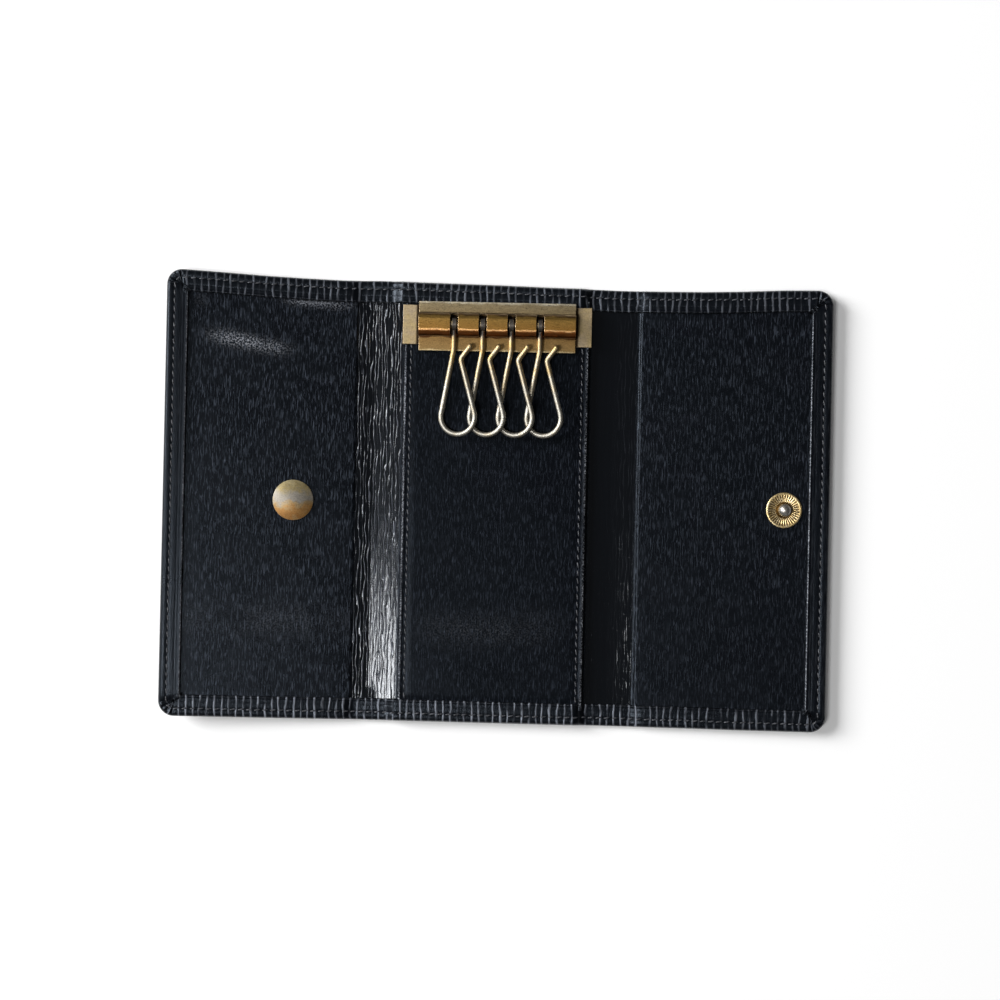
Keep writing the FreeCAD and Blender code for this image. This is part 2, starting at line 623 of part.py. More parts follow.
def hook_shape():
    """Eye, stem, loop, neck and tip of a hook, round the rod axis, with the loop turned about the stem."""
    wire = size("hook_wire") / 2
    head = size("hook_head_radius")
    start = Vector(0, -head + wire)
    stem = Vector(0, -size("hook_stem"))
    loop = Vector(size("hook_loop_side"), -size("hook_loop_drop"))
    radius = size("hook_loop_radius")
    neck = Vector(size("hook_neck_side"), -size("hook_neck_drop"))
    tip = Vector(size("hook_tip_side"), -size("hook_tip_drop"))
    down = tangent_point(stem, loop, radius, -1)
    back = tangent_point(neck, loop, radius, 1)
    bottom = loop - Vector(0, radius)
    stem_bend = corner_arc(start, stem, down, size("hook_stem_bend"))
    neck_bend = corner_arc(back, neck, tip, size("hook_neck_bend"))
    bent = wire_run(start, stem_bend[0], wire).multiFuse([
        wire_bend(*stem_bend, wire),
        wire_run(stem_bend[2], down, wire),
        wire_bend(down, bottom, back, wire),
        wire_run(back, neck_bend[0], wire),
        wire_bend(*neck_bend, wire),
        wire_run(neck_bend[2], tip, wire),
        Part.makeSphere(size("hook_tip_radius"), tip),
    ])
    bent.rotate(Vector(), Vector(0, -1, 0), HOOK_TWIST_DEG)
    thick = size("hook_head_thick")
    eye = Part.makeCylinder(head, thick, Vector(-thick / 2, 0, 0), Vector(1, 0, 0))
    eye_radius = size("rod_radius") + size("rod_clearance")
    hole = Part.makeCylinder(eye_radius, 2 * head, Vector(-head, 0, 0), Vector(1, 0, 0))
    return bent.fuse(eye).cut(hole).removeSplitter()


def hooks():
    """The row of hooks on the rod."""
    shape = hook_shape()
    row = []
    for number in range(HOOK_COUNT):
        hook = doc.addObject("Part::Feature", f"key_hook_{number + 1}")
        hook.Shape = shape
        hook.Placement = Placement(Vector(), Rotation(Vector(1, 0, 0), HOOK_SLOPE_DEG))
        hook.setExpression("Placement.Base.x", hook_x(number))
        hook.setExpression("Placement.Base.y", of("rod_place"))
        hook.setExpression("Placement.Base.z", ROD_HEIGHT)
        row.append(hook)
    return row


def dome(name, radius, rise, level, x, up):
    """A round cap, higher in the middle, on a level of a flap's frame."""
    ball = f"(({radius})^2 + ({rise})^2) / (2 * ({rise}))"
    cap = doc.addObject("Part::Sphere", name)
    cap.Placement = Placement(Vector(), Rotation(Vector(1, 0, 0), 0 if up > 0 else 180))
    cap.setExpression("Radius", ball)
    cap.setExpression("Angle1", f"asin(({ball} - {rise}) / ({ball}))")
    cap.setExpression("Placement.Base.x", x)
    cap.setExpression("Placement.Base.y", SNAP_Y)
    cap.setExpression("Placement.Base.z", f"{level} + ({up}) * ({rise} - ({ball}))")
    return cap


def left_snap_pieces():
    """Inner cap with its tubular shank, socket and spring ring on the left flap."""
    side = -1
    x = along(side, SNAP_PLACE[side], SNAP_PLACE[side])[0]
    rim_top = f"({FLAP_INSIDE} + {of('cap_edge')})"
    rim = cylinder("cap_rim", of("cap_radius"), FLAP_INSIDE, rim_top, x, SNAP_Y)
    crown = dome("cap_crown", of("cap_radius"), of("cap_rise"), rim_top, x, 1)
    shank = cylinder("cap_shank", of("shank_radius"), LEATHER_BACK, FLAP_INSIDE, x, SNAP_Y)
    bore = cylinder("cap_bore", of("socket_bore"), f"{LEATHER_BACK} - {of('overrun')}",
                    f"{FLAP_INSIDE} + {of('bore_into_cap')}", x, SNAP_Y)
    cap = cut("snap_inner_cap", fused("cap_blank", [rim, crown, shank]), [bore])
    mouth_low = f"({LEATHER_BACK} - {of('socket_height')})"
    lip_top = f"({mouth_low} + {of('socket_lip')})"
    ring = cylinder("socket_ring", of("socket_radius"), mouth_low, LEATHER_BACK, x, SNAP_Y)
    above = f"{LEATHER_BACK} + {of('overrun')}"
    below = f"{mouth_low} - {of('overrun')}"
    room = cylinder("socket_spring_room", of("socket_room"), lip_top, above, x, SNAP_Y)
    mouth = cylinder("socket_mouth_hole", of("socket_mouth"), below, LEATHER_BACK, x, SNAP_Y)
    socket = cut("snap_socket", ring, [room, mouth])
    spring_level = f"({lip_top} + {of('spring_wire')} + {of('spring_gap')})"
    wire = doc.addObject("Part::Torus", "spring_wire_ring")
    wire.setExpression("Radius1", of("spring_radius"))
    wire.setExpression("Radius2", of("spring_wire"))
    for place, value in (("x", x), ("y", SNAP_Y), ("z", spring_level)):
        wire.setExpression(f"Placement.Base.{place}", value)
    split = box("spring_split", f"{x} - {of('spring_wire')}", f"{x} + {of('spring_wire')}", SNAP_Y,
                f"{SNAP_Y} + {of('socket_room')}", mouth_low, LEATHER_BACK)
    spring = cut("snap_socket_spring", wire, [split])
    return [cap, socket, spring]


def right_snap_pieces():
    """Ball stud, its dished base and the cap that clenches it behind the right flap."""
    side = 1
    x = SNAP_PLACE[side]
    base_top = f"({FLAP_INSIDE} + {of('base_height')})"
    ball_level = f"({base_top} + {of('neck_length')} + sqrt({of('ball_radius')}^2 - {of('neck_radius')}^2))"
    neck_low = f"({LEATHER_BACK} + {of('post_floor')})"
    neck = cylinder("stud_neck", of("neck_radius"), neck_low, ball_level, x, SNAP_Y)
    ball = doc.addObject("Part::Sphere", "stud_ball")
    ball.setExpression("Radius", of("ball_radius"))
    for place, value in (("x", x), ("y", SNAP_Y), ("z", ball_level)):
        ball.setExpression(f"Placement.Base.{place}", value)
    stud = fused("snap_stud", [neck, ball])
    bore_radius = f"({of('neck_radius')} + {of('post_gap')})"
    disc = cylinder("base_disc", of("base_radius"), FLAP_INSIDE, base_top, x, SNAP_Y)
    dish = doc.addObject("Part::Cone", "base_dish")
    dish.setExpression("Radius1", of("dish_floor"))
    dish.setExpression("Radius2", of("dish_radius"))
    dish.setExpression("Height", of("dish_depth"))
    for place, value in (("x", x), ("y", SNAP_Y), ("z", f"{base_top} - {of('dish_depth')}")):
        dish.setExpression(f"Placement.Base.{place}", value)
    eye = cylinder("base_eye", bore_radius, LEATHER_BACK, f"{base_top} + {of('overrun')}", x, SNAP_Y)
    base = cut("snap_stud_base", disc, [dish, eye])
    rim_low = f"({LEATHER_BACK} - {of('outer_cap_edge')})"
    rim = cylinder("outer_cap_rim", of("cap_radius"), rim_low, LEATHER_BACK, x, SNAP_Y)
    crown = dome("outer_cap_crown", of("cap_radius"), of("outer_cap_rise"), rim_low, x, -1)
    post = cylinder("outer_cap_post", of("post_radius"), LEATHER_BACK, FLAP_INSIDE, x, SNAP_Y)
    bore = cylinder("outer_cap_bore", bore_radius, neck_low, base_top, x, SNAP_Y)
    cap = cut("snap_outer_cap", fused("outer_cap_blank", [rim, crown, post]), [bore])
    return [stud, base, cap]


pieces = []
for side, word in ((-1, "left"), (1, "right")):
    pieces += flap_pieces(side, word)
    pieces += spine_pieces(side, word)
pieces += centre_pieces()
pieces += key_panel_pieces()
pieces += rail_pieces()
pieces += hooks()
for side, snap_pieces in ((-1, left_snap_pieces()), (1, right_snap_pieces())):
    for piece in snap_pieces:
        place_on_flap(piece, side)
    pieces += snap_pieces
doc.recompute()

for item in doc.Objects:
    if "Invalid" in item.State or "Error" in item.State:
        raise ValueError(f"{item.Label} failed: {item.State}")
for piece in pieces:
    if piece.Shape.isNull() or not piece.Shape.isValid() or len(piece.Shape.Solids) != 1:
        raise ValueError(f"{piece.Label} is not one sound solid")
os.makedirs("parts", exist_ok=True)
for piece in pieces:
    piece.Shape.exportStep(f"parts/{piece.Label}.step")
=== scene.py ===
# A black leather key case that folds in three, laid open with its key rail at the top.
# Metres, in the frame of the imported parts: +X is right, +Y is towards the rail, +Z is up.
import json
import math

import bmesh
import bpy
import numpy as np
from mathutils import Matrix, Vector

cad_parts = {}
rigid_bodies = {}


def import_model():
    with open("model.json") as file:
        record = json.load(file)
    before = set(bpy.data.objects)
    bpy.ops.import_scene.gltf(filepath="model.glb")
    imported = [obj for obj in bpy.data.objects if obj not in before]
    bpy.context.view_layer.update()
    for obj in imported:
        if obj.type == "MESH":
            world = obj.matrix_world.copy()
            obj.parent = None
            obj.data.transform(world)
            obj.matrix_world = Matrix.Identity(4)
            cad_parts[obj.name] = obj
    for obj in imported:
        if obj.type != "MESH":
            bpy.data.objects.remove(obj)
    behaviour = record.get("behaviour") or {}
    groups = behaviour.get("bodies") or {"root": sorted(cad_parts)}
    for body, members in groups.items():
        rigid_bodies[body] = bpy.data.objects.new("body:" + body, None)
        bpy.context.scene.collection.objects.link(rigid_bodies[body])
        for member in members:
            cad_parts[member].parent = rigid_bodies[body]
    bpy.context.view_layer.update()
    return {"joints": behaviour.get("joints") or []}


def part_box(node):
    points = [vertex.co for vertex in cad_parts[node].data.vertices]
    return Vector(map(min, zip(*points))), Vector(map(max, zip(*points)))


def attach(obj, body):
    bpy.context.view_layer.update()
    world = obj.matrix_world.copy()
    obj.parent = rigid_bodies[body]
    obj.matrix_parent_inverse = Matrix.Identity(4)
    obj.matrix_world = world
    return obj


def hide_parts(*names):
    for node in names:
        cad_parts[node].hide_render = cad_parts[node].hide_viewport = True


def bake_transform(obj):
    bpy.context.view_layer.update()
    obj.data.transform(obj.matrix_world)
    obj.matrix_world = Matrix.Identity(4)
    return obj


for leftover in list(bpy.data.objects):
    bpy.data.objects.remove(leftover)
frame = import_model()
MM = 0.001

# Table, window light and camera
# A white table top beside a large soft window on the left. The room is darker above and on the right.
# The camera looks down from nearly straight above the case.
scene = bpy.context.scene
scene.view_settings.view_transform = "Standard"

camera_lens_mm = 67.54
camera_place = (5.25 * MM, -0.77 * MM, 450 * MM)
camera_turn_deg = (0.234, 0.533, 1.224)
camera_data = bpy.data.cameras.new("camera")
camera_data.lens = camera_lens_mm
camera = bpy.data.objects.new("camera", camera_data)
camera.location = camera_place
camera.rotation_euler = [math.radians(angle) for angle in camera_turn_deg]
scene.collection.objects.link(camera)
scene.camera = camera


def add_node(tree, kind, **settings):
    """A new shader node with its settings."""
    node = tree.nodes.new(kind)
    for name, value in settings.items():
        setattr(node, name, value)
    return node


def join(tree, start, end):
    """Links a socket to an input, or sets the input to a plain value."""
    if isinstance(start, bpy.types.NodeSocket):
        tree.links.new(start, end)
    else:
        end.default_value = start


def remap(tree, value, low, high, new_low=0, new_high=1):
    """The value moved from one range to another and held inside it."""
    node = add_node(tree, "ShaderNodeMapRange")
    for socket, given in zip(node.inputs, (value, low, high, new_low, new_high)):
        join(tree, given, socket)
    return node.outputs["Result"]


def combine(tree, operation, first, second, kind="Math", result="Value"):
    """Arithmetic on two sockets or plain values."""
    node = add_node(tree, f"ShaderNode{kind}", operation=operation)
    join(tree, first, node.inputs[0])
    join(tree, second, node.inputs[1])
    return node.outputs[result]


def times(tree, first, second):
    """A socket times a socket or a number."""
    return combine(tree, "MULTIPLY", first, second)


def axis_of(tree, vector, axis):
    """One axis of a vector socket."""
    node = add_node(tree, "ShaderNodeSeparateXYZ")
    join(tree, vector, node.inputs["Vector"])
    return node.outputs[axis]


room_left = 0.35
room_right = 0.10
room_horizon = 1.0
room_overhead = 0.5
room = bpy.data.worlds.new("room")
scene.world = room
room.use_nodes = True
tree = room.node_tree
tree.nodes.clear()
way = add_node(tree, "ShaderNodeTexCoord").outputs["Generated"]
across = remap(tree, axis_of(tree, way, "X"), -0.9, 0.7, room_left, room_right)
upward = remap(tree, axis_of(tree, way, "Z"), 0.15, 1.0, room_horizon, room_overhead)
glow = add_node(tree, "ShaderNodeBackground")
join(tree, times(tree, across, upward), glow.inputs["Strength"])
world_out = add_node(tree, "ShaderNodeOutputWorld")
join(tree, glow.outputs["Background"], world_out.inputs["Surface"])


def window(name, place, aim, width, height, watts):
    """A soft rectangular light that faces a point on the case."""
    data = bpy.data.lights.new(name, "AREA")
    data.shape = "RECTANGLE"
    data.size = width
    data.size_y = height
    data.energy = watts
    lamp = bpy.data.objects.new(name, data)
    lamp.location = place
    lamp.rotation_euler = (Vector(aim) - Vector(place)).to_track_quat("-Z", "Y").to_euler()
    scene.collection.objects.link(lamp)


window("window_left", place=(-2.55, 0.85, 1.6), aim=(0, 0, 0), width=1.5, height=1.5, watts=144)
window("window_low", place=(-0.56, -0.26, 1.5), aim=(-0.03, -0.03, 0), width=0.2, height=0.46, watts=9)


def new_piece(name, shaper):
    """A new object with the mesh that was shaped."""
    mesh = bpy.data.meshes.new(name)
    shaper.to_mesh(mesh)
    shaper.free()
    piece = bpy.data.objects.new(name, mesh)
    scene.collection.objects.link(piece)
    return piece


table_half = 1.5
table_drop = 0.05 * MM
table_colour = (0.88, 0.88, 0.88, 1)
table_lift = 0.06
shaper = bmesh.new()
bmesh.ops.create_grid(shaper, x_segments=1, y_segments=1, size=table_half)
bmesh.ops.translate(shaper, verts=shaper.verts, vec=(0, 0, -table_drop))
table = new_piece("table", shaper)

table_white = bpy.data.materials.new("table_white")
table_white.use_nodes = True
tree = table_white.node_tree
tree.nodes.clear()
paint = add_node(tree, "ShaderNodeBsdfDiffuse")
paint.inputs["Color"].default_value = table_colour
ray = add_node(tree, "ShaderNodeLightPath")
seen = combine(tree, "MAXIMUM", ray.outputs["Is Camera Ray"], ray.outputs["Is Glossy Ray"])
seen = combine(tree, "MAXIMUM", seen, ray.outputs["Is Transmission Ray"])
lift = add_node(tree, "ShaderNodeEmission")
join(tree, times(tree, seen, table_lift), lift.inputs["Strength"])
both = add_node(tree, "ShaderNodeAddShader")
join(tree, paint.outputs["BSDF"], both.inputs[0])
join(tree, lift.outputs["Emission"], both.inputs[1])
surface = add_node(tree, "ShaderNodeOutputMaterial")
join(tree, both.outputs["Shader"], surface.inputs["Surface"])
table.data.materials.append(table_white)

# Outer leather
# One skin of black leather with a straight rib up its height. Its edge is thinned, turned over the lining
# as a hem and sewn down. It is parted here along lines that never bend, so each part crosses one fold.
folds = {joint["name"]: joint for joint in frame["joints"]}
left_crease = folds["left_flap_fold"]["pos_m"][0]
left_spine_crease = folds["left_spine_fold"]["pos_m"][0]
right_spine_crease = folds["right_spine_fold"]["pos_m"][0]
right_crease = folds["right_flap_fold"]["pos_m"][0]
fold_height = folds["left_flap_fold"]["pos_m"][2]
left_tilt = math.radians(90 - folds["left_flap_fold"]["range_deg"][1])
right_tilt = math.radians(90 - folds["right_flap_fold"]["range_deg"][1])
half_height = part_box("centre_cover")[1].y
left_flap_width = 45.4 * MM
right_flap_width = 45.6 * MM
left_edge = left_crease - left_flap_width
right_edge = right_crease + right_flap_width
left_part = (left_crease + left_spine_crease) / 2
right_part = (right_crease + right_spine_crease) / 2
fold_reach = 2.3 * MM
corner_radius = 3.8 * MM
flap_hem_top = 2.6 * MM
spine_hem_top = 2.0 * MM
centre_hem_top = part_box("key_panel_face")[1].z + 0.35 * MM
edge_round = 0.9 * MM
leather_thick = 0.55 * MM
leather_column_step = 0.45 * MM
leather_row_step = 1.6 * MM
rib_pitch = 1.7 * MM
rib_height = 0.13 * MM
rib_stations = [left_edge, left_crease, right_crease, right_crease + 3 * MM, right_edge]
# How far each rib's crest is raised and painted pale as a highlight: along the top and bottom hems, on the
# side hems, and on the back.
top_rib_crest_and_highlight = [0.42, 0.6, 0.6, 0.42, 0.4]
bottom_rib_crest_and_highlight = [1, 1, 1, 0.55, 0.45]
side_rib_crest_and_highlight = 0.05
back_rib_crest_and_highlight = 0.5
# Painted highlight along the bead at the hem's inner edge: strong on the side hems, faint on the top and
# bottom.
bead_highlight = [0, 0.3, 1.6, 0.9, 0]
side_bead_highlight = 0.95
end_bead_highlight = 0.1
pleat_depth = 0.12 * MM
corner_pleats = 14
seam_inset = 2.0 * MM
top_pull = [
    (-80, 2.05), (-65, 1.30), (-56, 0.79), (-46, 0.40), (-37, 0.17), (-28, 0.30), (-18, 0.05), (0, -0.26),
    (12, -0.58), (20, -0.68), (29, -0.93), (39, -0.95), (49, -0.86), (58, -0.60), (68, -0.14), (80, 0.0),
]
bottom_pull = [
    (-80, 0.50), (-46, 0.30), (-18, 0.26), (0, 0.15), (29, 0.02), (49, -0.12), (58, -0.21), (80, -0.30),
]


def ease(value, start, end):
    """Rises smoothly from 0 at start to 1 at end."""
    share = np.clip((value - start) / (end - start), 0, 1)
    return share * share * (3 - 2 * share)


def hem_top(x):
    """Height of the hem above the back. It steps down over the spines."""
    left = ease(x, left_crease + 1.2 * MM, left_crease - 1.8 * MM)
    right = ease(x, right_crease - 1.2 * MM, right_crease + 1.8 * MM)
    middle = ease(x, left_spine_crease + 0.4 * MM, left_spine_crease + 3.4 * MM)
    middle = middle * ease(x, right_spine_crease - 0.4 * MM, right_spine_crease - 3.4 * MM)
    flap = (flap_hem_top - spine_hem_top) * (left + right)
    return spine_hem_top + flap + (centre_hem_top - spine_hem_top) * middle


def lie(x, y, height):
    """The case as it lies open: both flaps lean up from the table, and wear has pulled its edges askew."""
    top = np.interp(x, *(np.array(top_pull) * MM).T)
    bottom = np.interp(x, *(np.array(bottom_pull) * MM).T)
    y = y + bottom + (top - bottom) * ease(y, -half_height, half_height)
    rise = height - fold_height
    new_x = x
    new_height = height
    for crease, tilt, way in ((left_crease, left_tilt, -1), (right_crease, right_tilt, 1)):
        angle = tilt * ease(x, crease - way * fold_reach, crease + way * fold_reach)
        out = way * (x - crease)
        turned = crease + way * (out * np.cos(angle) - rise * np.sin(angle))
        lifted = fold_height + out * np.sin(angle) + rise * np.cos(angle)
        new_x = np.where(angle > 0, turned, new_x)
        new_height = np.where(angle > 0, lifted, new_height)
    return np.stack([new_x, y, new_height], axis=1)


def flat_grid(name, columns, rows):
    """A new piece with a flat grid of faces, and the column and row of each of its points."""
    shaper = bmesh.new()
    bmesh.ops.create_grid(shaper, x_segments=columns, y_segments=rows, size=1)
    piece = new_piece(name, shaper)
    count = np.arange(len(piece.data.vertices))
    return piece, count % (columns + 1), count // (columns + 1)


def settle(piece, points, cut_place, rubbed, turn_over=False):
    """Moves the grid's points into place, and keeps where each lay on the cut leather and its painted sheen
    and polish.
    """
    mesh = piece.data
    mesh.vertices.foreach_set("co", points.ravel())
    kept = mesh.attributes.new("cut_place", "FLOAT_VECTOR", "POINT")
    kept.data.foreach_set("vector", cut_place.ravel())
    sheen_marks = mesh.attributes.new("rubbed", "FLOAT", "POINT")
    sheen_marks.data.foreach_set("value", rubbed)
    shaper = bmesh.new()
    shaper.from_mesh(mesh)
    bmesh.ops.remove_doubles(shaper, verts=shaper.verts, dist=0.001 * MM)
    if turn_over:
        bmesh.ops.reverse_faces(shaper, faces=shaper.faces)
    for face in shaper.faces:
        face.smooth = True
    for edge in shaper.edges:
        edge.smooth = not edge.is_boundary
    shaper.to_mesh(mesh)
    shaper.free()
    mesh.update()


snap_holes = {"left_flap": ("snap_socket", 2.4 * MM), "right_flap": ("snap_outer_cap", 1.8 * MM)}


def punch(piece, part):
    """Cuts the round hole for the press fastener's shank, if that part of the case has one."""
    if part not in snap_holes:
        return
    node, hole_radius = snap_holes[part]
    centre = (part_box(node)[0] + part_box(node)[1]) / 2
    shaper = bmesh.new()
    shaper.from_mesh(piece.data)
    inside = [vert for vert in shaper.verts if (vert.co.xy - centre.xy).length < hole_radius]
    cut = {face for vert in inside for face in vert.link_faces}
    rim = {vert for face in cut for vert in face.verts} - set(inside)
    bmesh.ops.delete(shaper, geom=list(cut), context="FACES")
    for vert in rim:
        outward = (vert.co.xy - centre.xy).normalized() * hole_radius
        vert.co.x = centre.x + outward.x
        vert.co.y = centre.y + outward.y
    for edge in shaper.edges:
        edge.smooth = not edge.is_boundary
    shaper.to_mesh(piece.data)
    shaper.free()


def thicken(piece, thickness):
    """Gives a sheet its wall, below the face that shows."""
    wall = piece.modifiers.new("wall", "SOLIDIFY")
    wall.thickness = thickness
    wall.offset = -1


def hem_profile():
    """The way from the back round the edge and over the hem: inset, share of the hem's height, and drop."""
    back = [(3.2, 0), (2.7, 0), (2.3, 0.02), (2.0, 0.12), (1.7, 0.02), (1.3, 0), (0.9, 0)]
    steps = [(inset * MM, 0.0, drop * MM) for inset, drop in back]
    for angle in np.radians(np.arange(-75, 91, 15)):
        steps.append((edge_round * (1 - math.cos(angle)), (1 + math.sin(angle)) / 2, 0.0))
    hem = [
        (1.25, 0), (1.55, -0.01), (1.75, -0.04), (1.88, -0.08), (2.0, -0.10), (2.12, -0.08), (2.25, -0.04),
        (2.45, -0.01), (2.8, 0.0), (3.2, 0.0), (3.5, 0.0), (3.62, -0.02), (3.7, -0.03), (3.78, -0.02),
        (3.9, 0.0), (4.2, -0.02), (4.4, -0.02), (4.55, 0.0), (4.7, 0.05), (4.82, 0.08), (4.95, 0.05),
        (5.06, -0.02), (5.14, -0.2), (5.2, -0.5), (5.2, -0.85),
    ]
    steps += [(inset * MM, 1.0, drop * MM) for inset, drop in hem]
    return np.array([(corner_radius, 0.0, 0.0)] + steps).T


hem_inset, hem_share, hem_drop = hem_profile()
hem_steps = len(hem_inset) - 1
hem_run = np.hypot(np.diff(hem_inset), np.diff(hem_share * flap_hem_top + hem_drop))
hem_run = np.concatenate([[0], np.cumsum(hem_run)])
slope_in = np.gradient(hem_inset, hem_run)
slope_up = np.gradient(hem_share * flap_hem_top + hem_drop, hem_run)
slope_size = np.hypot(slope_in, slope_up)
outward_in = -slope_up / slope_size
outward_up = slope_in / slope_size


def spread(start, end, step):
    """Even stations from start to end, about a step apart."""
    return np.linspace(start, end, max(2, round(abs(end - start) / step) + 1))


def outer_leather(name, inner, outer, side):
    """A part of the skin between two lines, with hems above and below, and at the end if side is -1 or 1."""
    arc_y = half_height - corner_radius
    hem = np.arange(1, hem_steps + 1)
    stations = spread(inner, outer - side * corner_radius, leather_column_step)
    column_x = np.concatenate([stations, np.full(hem_steps if side else 0, stations[-1])])
    column_step = np.concatenate([np.zeros(len(stations)), hem if side else []])
    if column_x[0] > column_x[-1]:
        column_x = column_x[::-1]
        column_step = column_step[::-1]
    straight = spread(-arc_y, arc_y, leather_row_step)
    row_y = np.concatenate([np.full(hem_steps, -arc_y), straight, np.full(hem_steps, arc_y)])
    row_step = np.concatenate([hem[::-1], np.zeros(len(straight)), hem])
    piece, column, row = flat_grid(name, len(column_x) - 1, len(row_y) - 1)

    x = column_x[column]
    y = row_y[row]
    step_x = column_step[column]
    step_y = row_step[row]
    up = np.sign(y)
    step = np.maximum(step_x, step_y).astype(int)
    along_side = step_y / np.maximum(2 * step_x, 1)
    along_end = 1 - step_x / np.maximum(2 * step_y, 1)
    angle = np.where(step > 0, np.where(step_x >= step_y, along_side, along_end), 0) * math.pi / 2
    at_corner = (step_x > 0) & (step_y > 0)
    on_hem = hem_share[step] > 0.9

    run = hem_run[step]
    cut_x = x + side * run * np.where(step_x > 0, np.cos(angle), 0)
    cut_y = y + up * run * np.where(step_y > 0, np.sin(angle), 0)
    depth = pleat_depth * np.sin(angle * corner_pleats) * at_corner * on_hem
    inset = hem_inset[step] - depth * outward_in[step]
    height = hem_share[step] * hem_top(x) + hem_drop[step]
    height = height - depth * np.where(step > 0, outward_up[step], -1)

    radius = np.maximum(corner_radius - inset, 0)
    beyond = np.maximum(inset - corner_radius, 0)
    place_x = np.where(step_x > 0, x + side * (radius * np.where(at_corner, np.cos(angle), 1) - beyond), x)
    only_y = (step_y > 0) & (step_x == 0)
    reach = np.clip((x - inner) / (outer - side * corner_radius - inner), 0, 1)
    place_x = np.where(only_y, x - side * beyond * reach, place_x)
    cut_x = cut_x - side * beyond * reach * (step_y >= step_x)
    place_y = np.where(step_y > 0, y + up * (radius * np.where(at_corner, np.sin(angle), 1) - beyond), y)
    only_x = (step_x > 0) & (step_y == 0)
    place_y = np.where(only_x, y * (arc_y - beyond) / arc_y, place_y)

    # Each rib's crest is raised and painted pale as a highlight by this share, kept as the third value of
    # cut_place.
    rib_crest_and_highlight = np.interp(x, rib_stations, bottom_rib_crest_and_highlight)
    rib_crest_and_highlight = np.where(y > 0, np.interp(x, rib_stations, top_rib_crest_and_highlight), rib_crest_and_highlight)
    rib_crest_and_highlight = np.where(step_x > step_y, side_rib_crest_and_highlight, rib_crest_and_highlight)
    rib_crest_and_highlight = np.where(hem_share[step] > 0, rib_crest_and_highlight, back_rib_crest_and_highlight)
    cut_place = np.stack([cut_x, cut_y, rib_crest_and_highlight], axis=1)
    # Painted highlight on the hem's inner bead, kept in the sheen mark.
    on_bead_highlight = np.interp(run, hem_run[-7:-2], bead_highlight) * on_hem
    rubbed = on_bead_highlight * np.where(step_x > step_y, side_bead_highlight, end_bead_highlight)
    settle(piece, lie(place_x, place_y, height), cut_place, rubbed, turn_over=True)
    thicken(piece, leather_thick)
    return piece


grain_sizes = ("Grain Width", "Grain Length", "Patch Size", "Ridge Pitch", "Ridge Length", "Ridge Wander")


def new_group(name, vectors, values, results):
    """A new group of nodes, with the nodes for its inputs and outputs."""
    group = bpy.data.node_groups.new(name, "ShaderNodeTree")
    wanted = ((vectors, "INPUT", "Vector"), (values, "INPUT", "Float"), (results, "OUTPUT", "Float"))
    for names, way, kind in wanted:
        for socket in names:
            group.interface.new_socket(socket, in_out=way, socket_type=f"NodeSocket{kind}")
    return group, add_node(group, "NodeGroupInput"), add_node(group, "NodeGroupOutput")


def noise(tree, place, scale, detail, roughness=0.5, distortion=0, dimensions="3D"):
    """A noise pattern read at a place."""
    node = add_node(tree, "ShaderNodeTexNoise", noise_dimensions=dimensions)
    settings = {"Scale": scale, "Detail": detail, "Roughness": roughness, "Distortion": distortion}
    for name, value in settings.items():
        node.inputs[name].default_value = value
    join(tree, place, node.inputs["Vector"])
    return node.outputs["Fac"]


def leather_grain_group():
    """Grain that runs up the leather, its pores, broad patches of wear, and narrow ridges that wander up it.
    """
    results = ("Grain", "Pores", "Patches", "Ridges", "Swell", "Specks")
    group, taken, given = new_group("leather_grain", ["Place"], grain_sizes, results)

    def stretched(width, length, detail, roughness, distortion):
        """Noise whose marks have that width and length."""
        ratio = add_node(group, "ShaderNodeCombineXYZ")
        join(group, combine(group, "DIVIDE", 1, width), ratio.inputs["X"])
        join(group, combine(group, "DIVIDE", 1, length), ratio.inputs["Y"])
        ratio = ratio.outputs["Vector"]
        scaled = combine(group, "MULTIPLY", taken.outputs["Place"], ratio, "VectorMath", "Vector")
        return noise(group, scaled, 1, detail, roughness, distortion, "2D")

    width, length, patch, pitch, run, wander = [taken.outputs[name] for name in grain_sizes]
    join(group, stretched(width, length, 3, 0.65, 0.6), given.inputs["Grain"])
    fine = times(group, width, 0.5)
    join(group, stretched(fine, times(group, fine, 1.6), 2, 0.5, 0), given.inputs["Pores"])
    join(group, stretched(patch, patch, 4, 0.55, 0.6), given.inputs["Patches"])
    speck = 0.42 * MM
    join(group, stretched(speck, speck, 2, 0.6, 0), given.inputs["Specks"])
    aside = remap(group, stretched(times(group, pitch, 2.2), run, 2, 0.5, 0), 0.2, 0.8, -1, 1)
    aside = times(group, aside, wander)
    moved = combine(group, "ADD", axis_of(group, taken.outputs["Place"], "X"), aside)
    turn = times(group, combine(group, "DIVIDE", moved, pitch), 2 * math.pi)
    wave = combine(group, "SINE", turn, 0)
    join(group, remap(group, wave, -1, 1), given.inputs["Swell"])
    crest = remap(group, wave, 0.5, 1)
    fade = stretched(times(group, pitch, 0.9), times(group, run, 0.7), 1, 0.5, 0)
    crest = times(group, crest, remap(group, fade, 0.36, 0.62, 0.08, 1))
    join(group, crest, given.inputs["Ridges"])
    return group


leather_grain = leather_grain_group()
leather_black = (0.0020, 0.0026, 0.0038)
painted_sheen_colour = (0.30, 0.315, 0.35)
leather_gleam = (0.72, 0.84, 1.0, 1)
leather_patch = 14
polish = 0.7
polish_roughness = 0.09


def new_material(name):
    """A new material, its nodes, and its shader."""
    material = bpy.data.materials.new(name)
    material.use_nodes = True
    return material, material.node_tree, material.node_tree.nodes["Principled BSDF"]


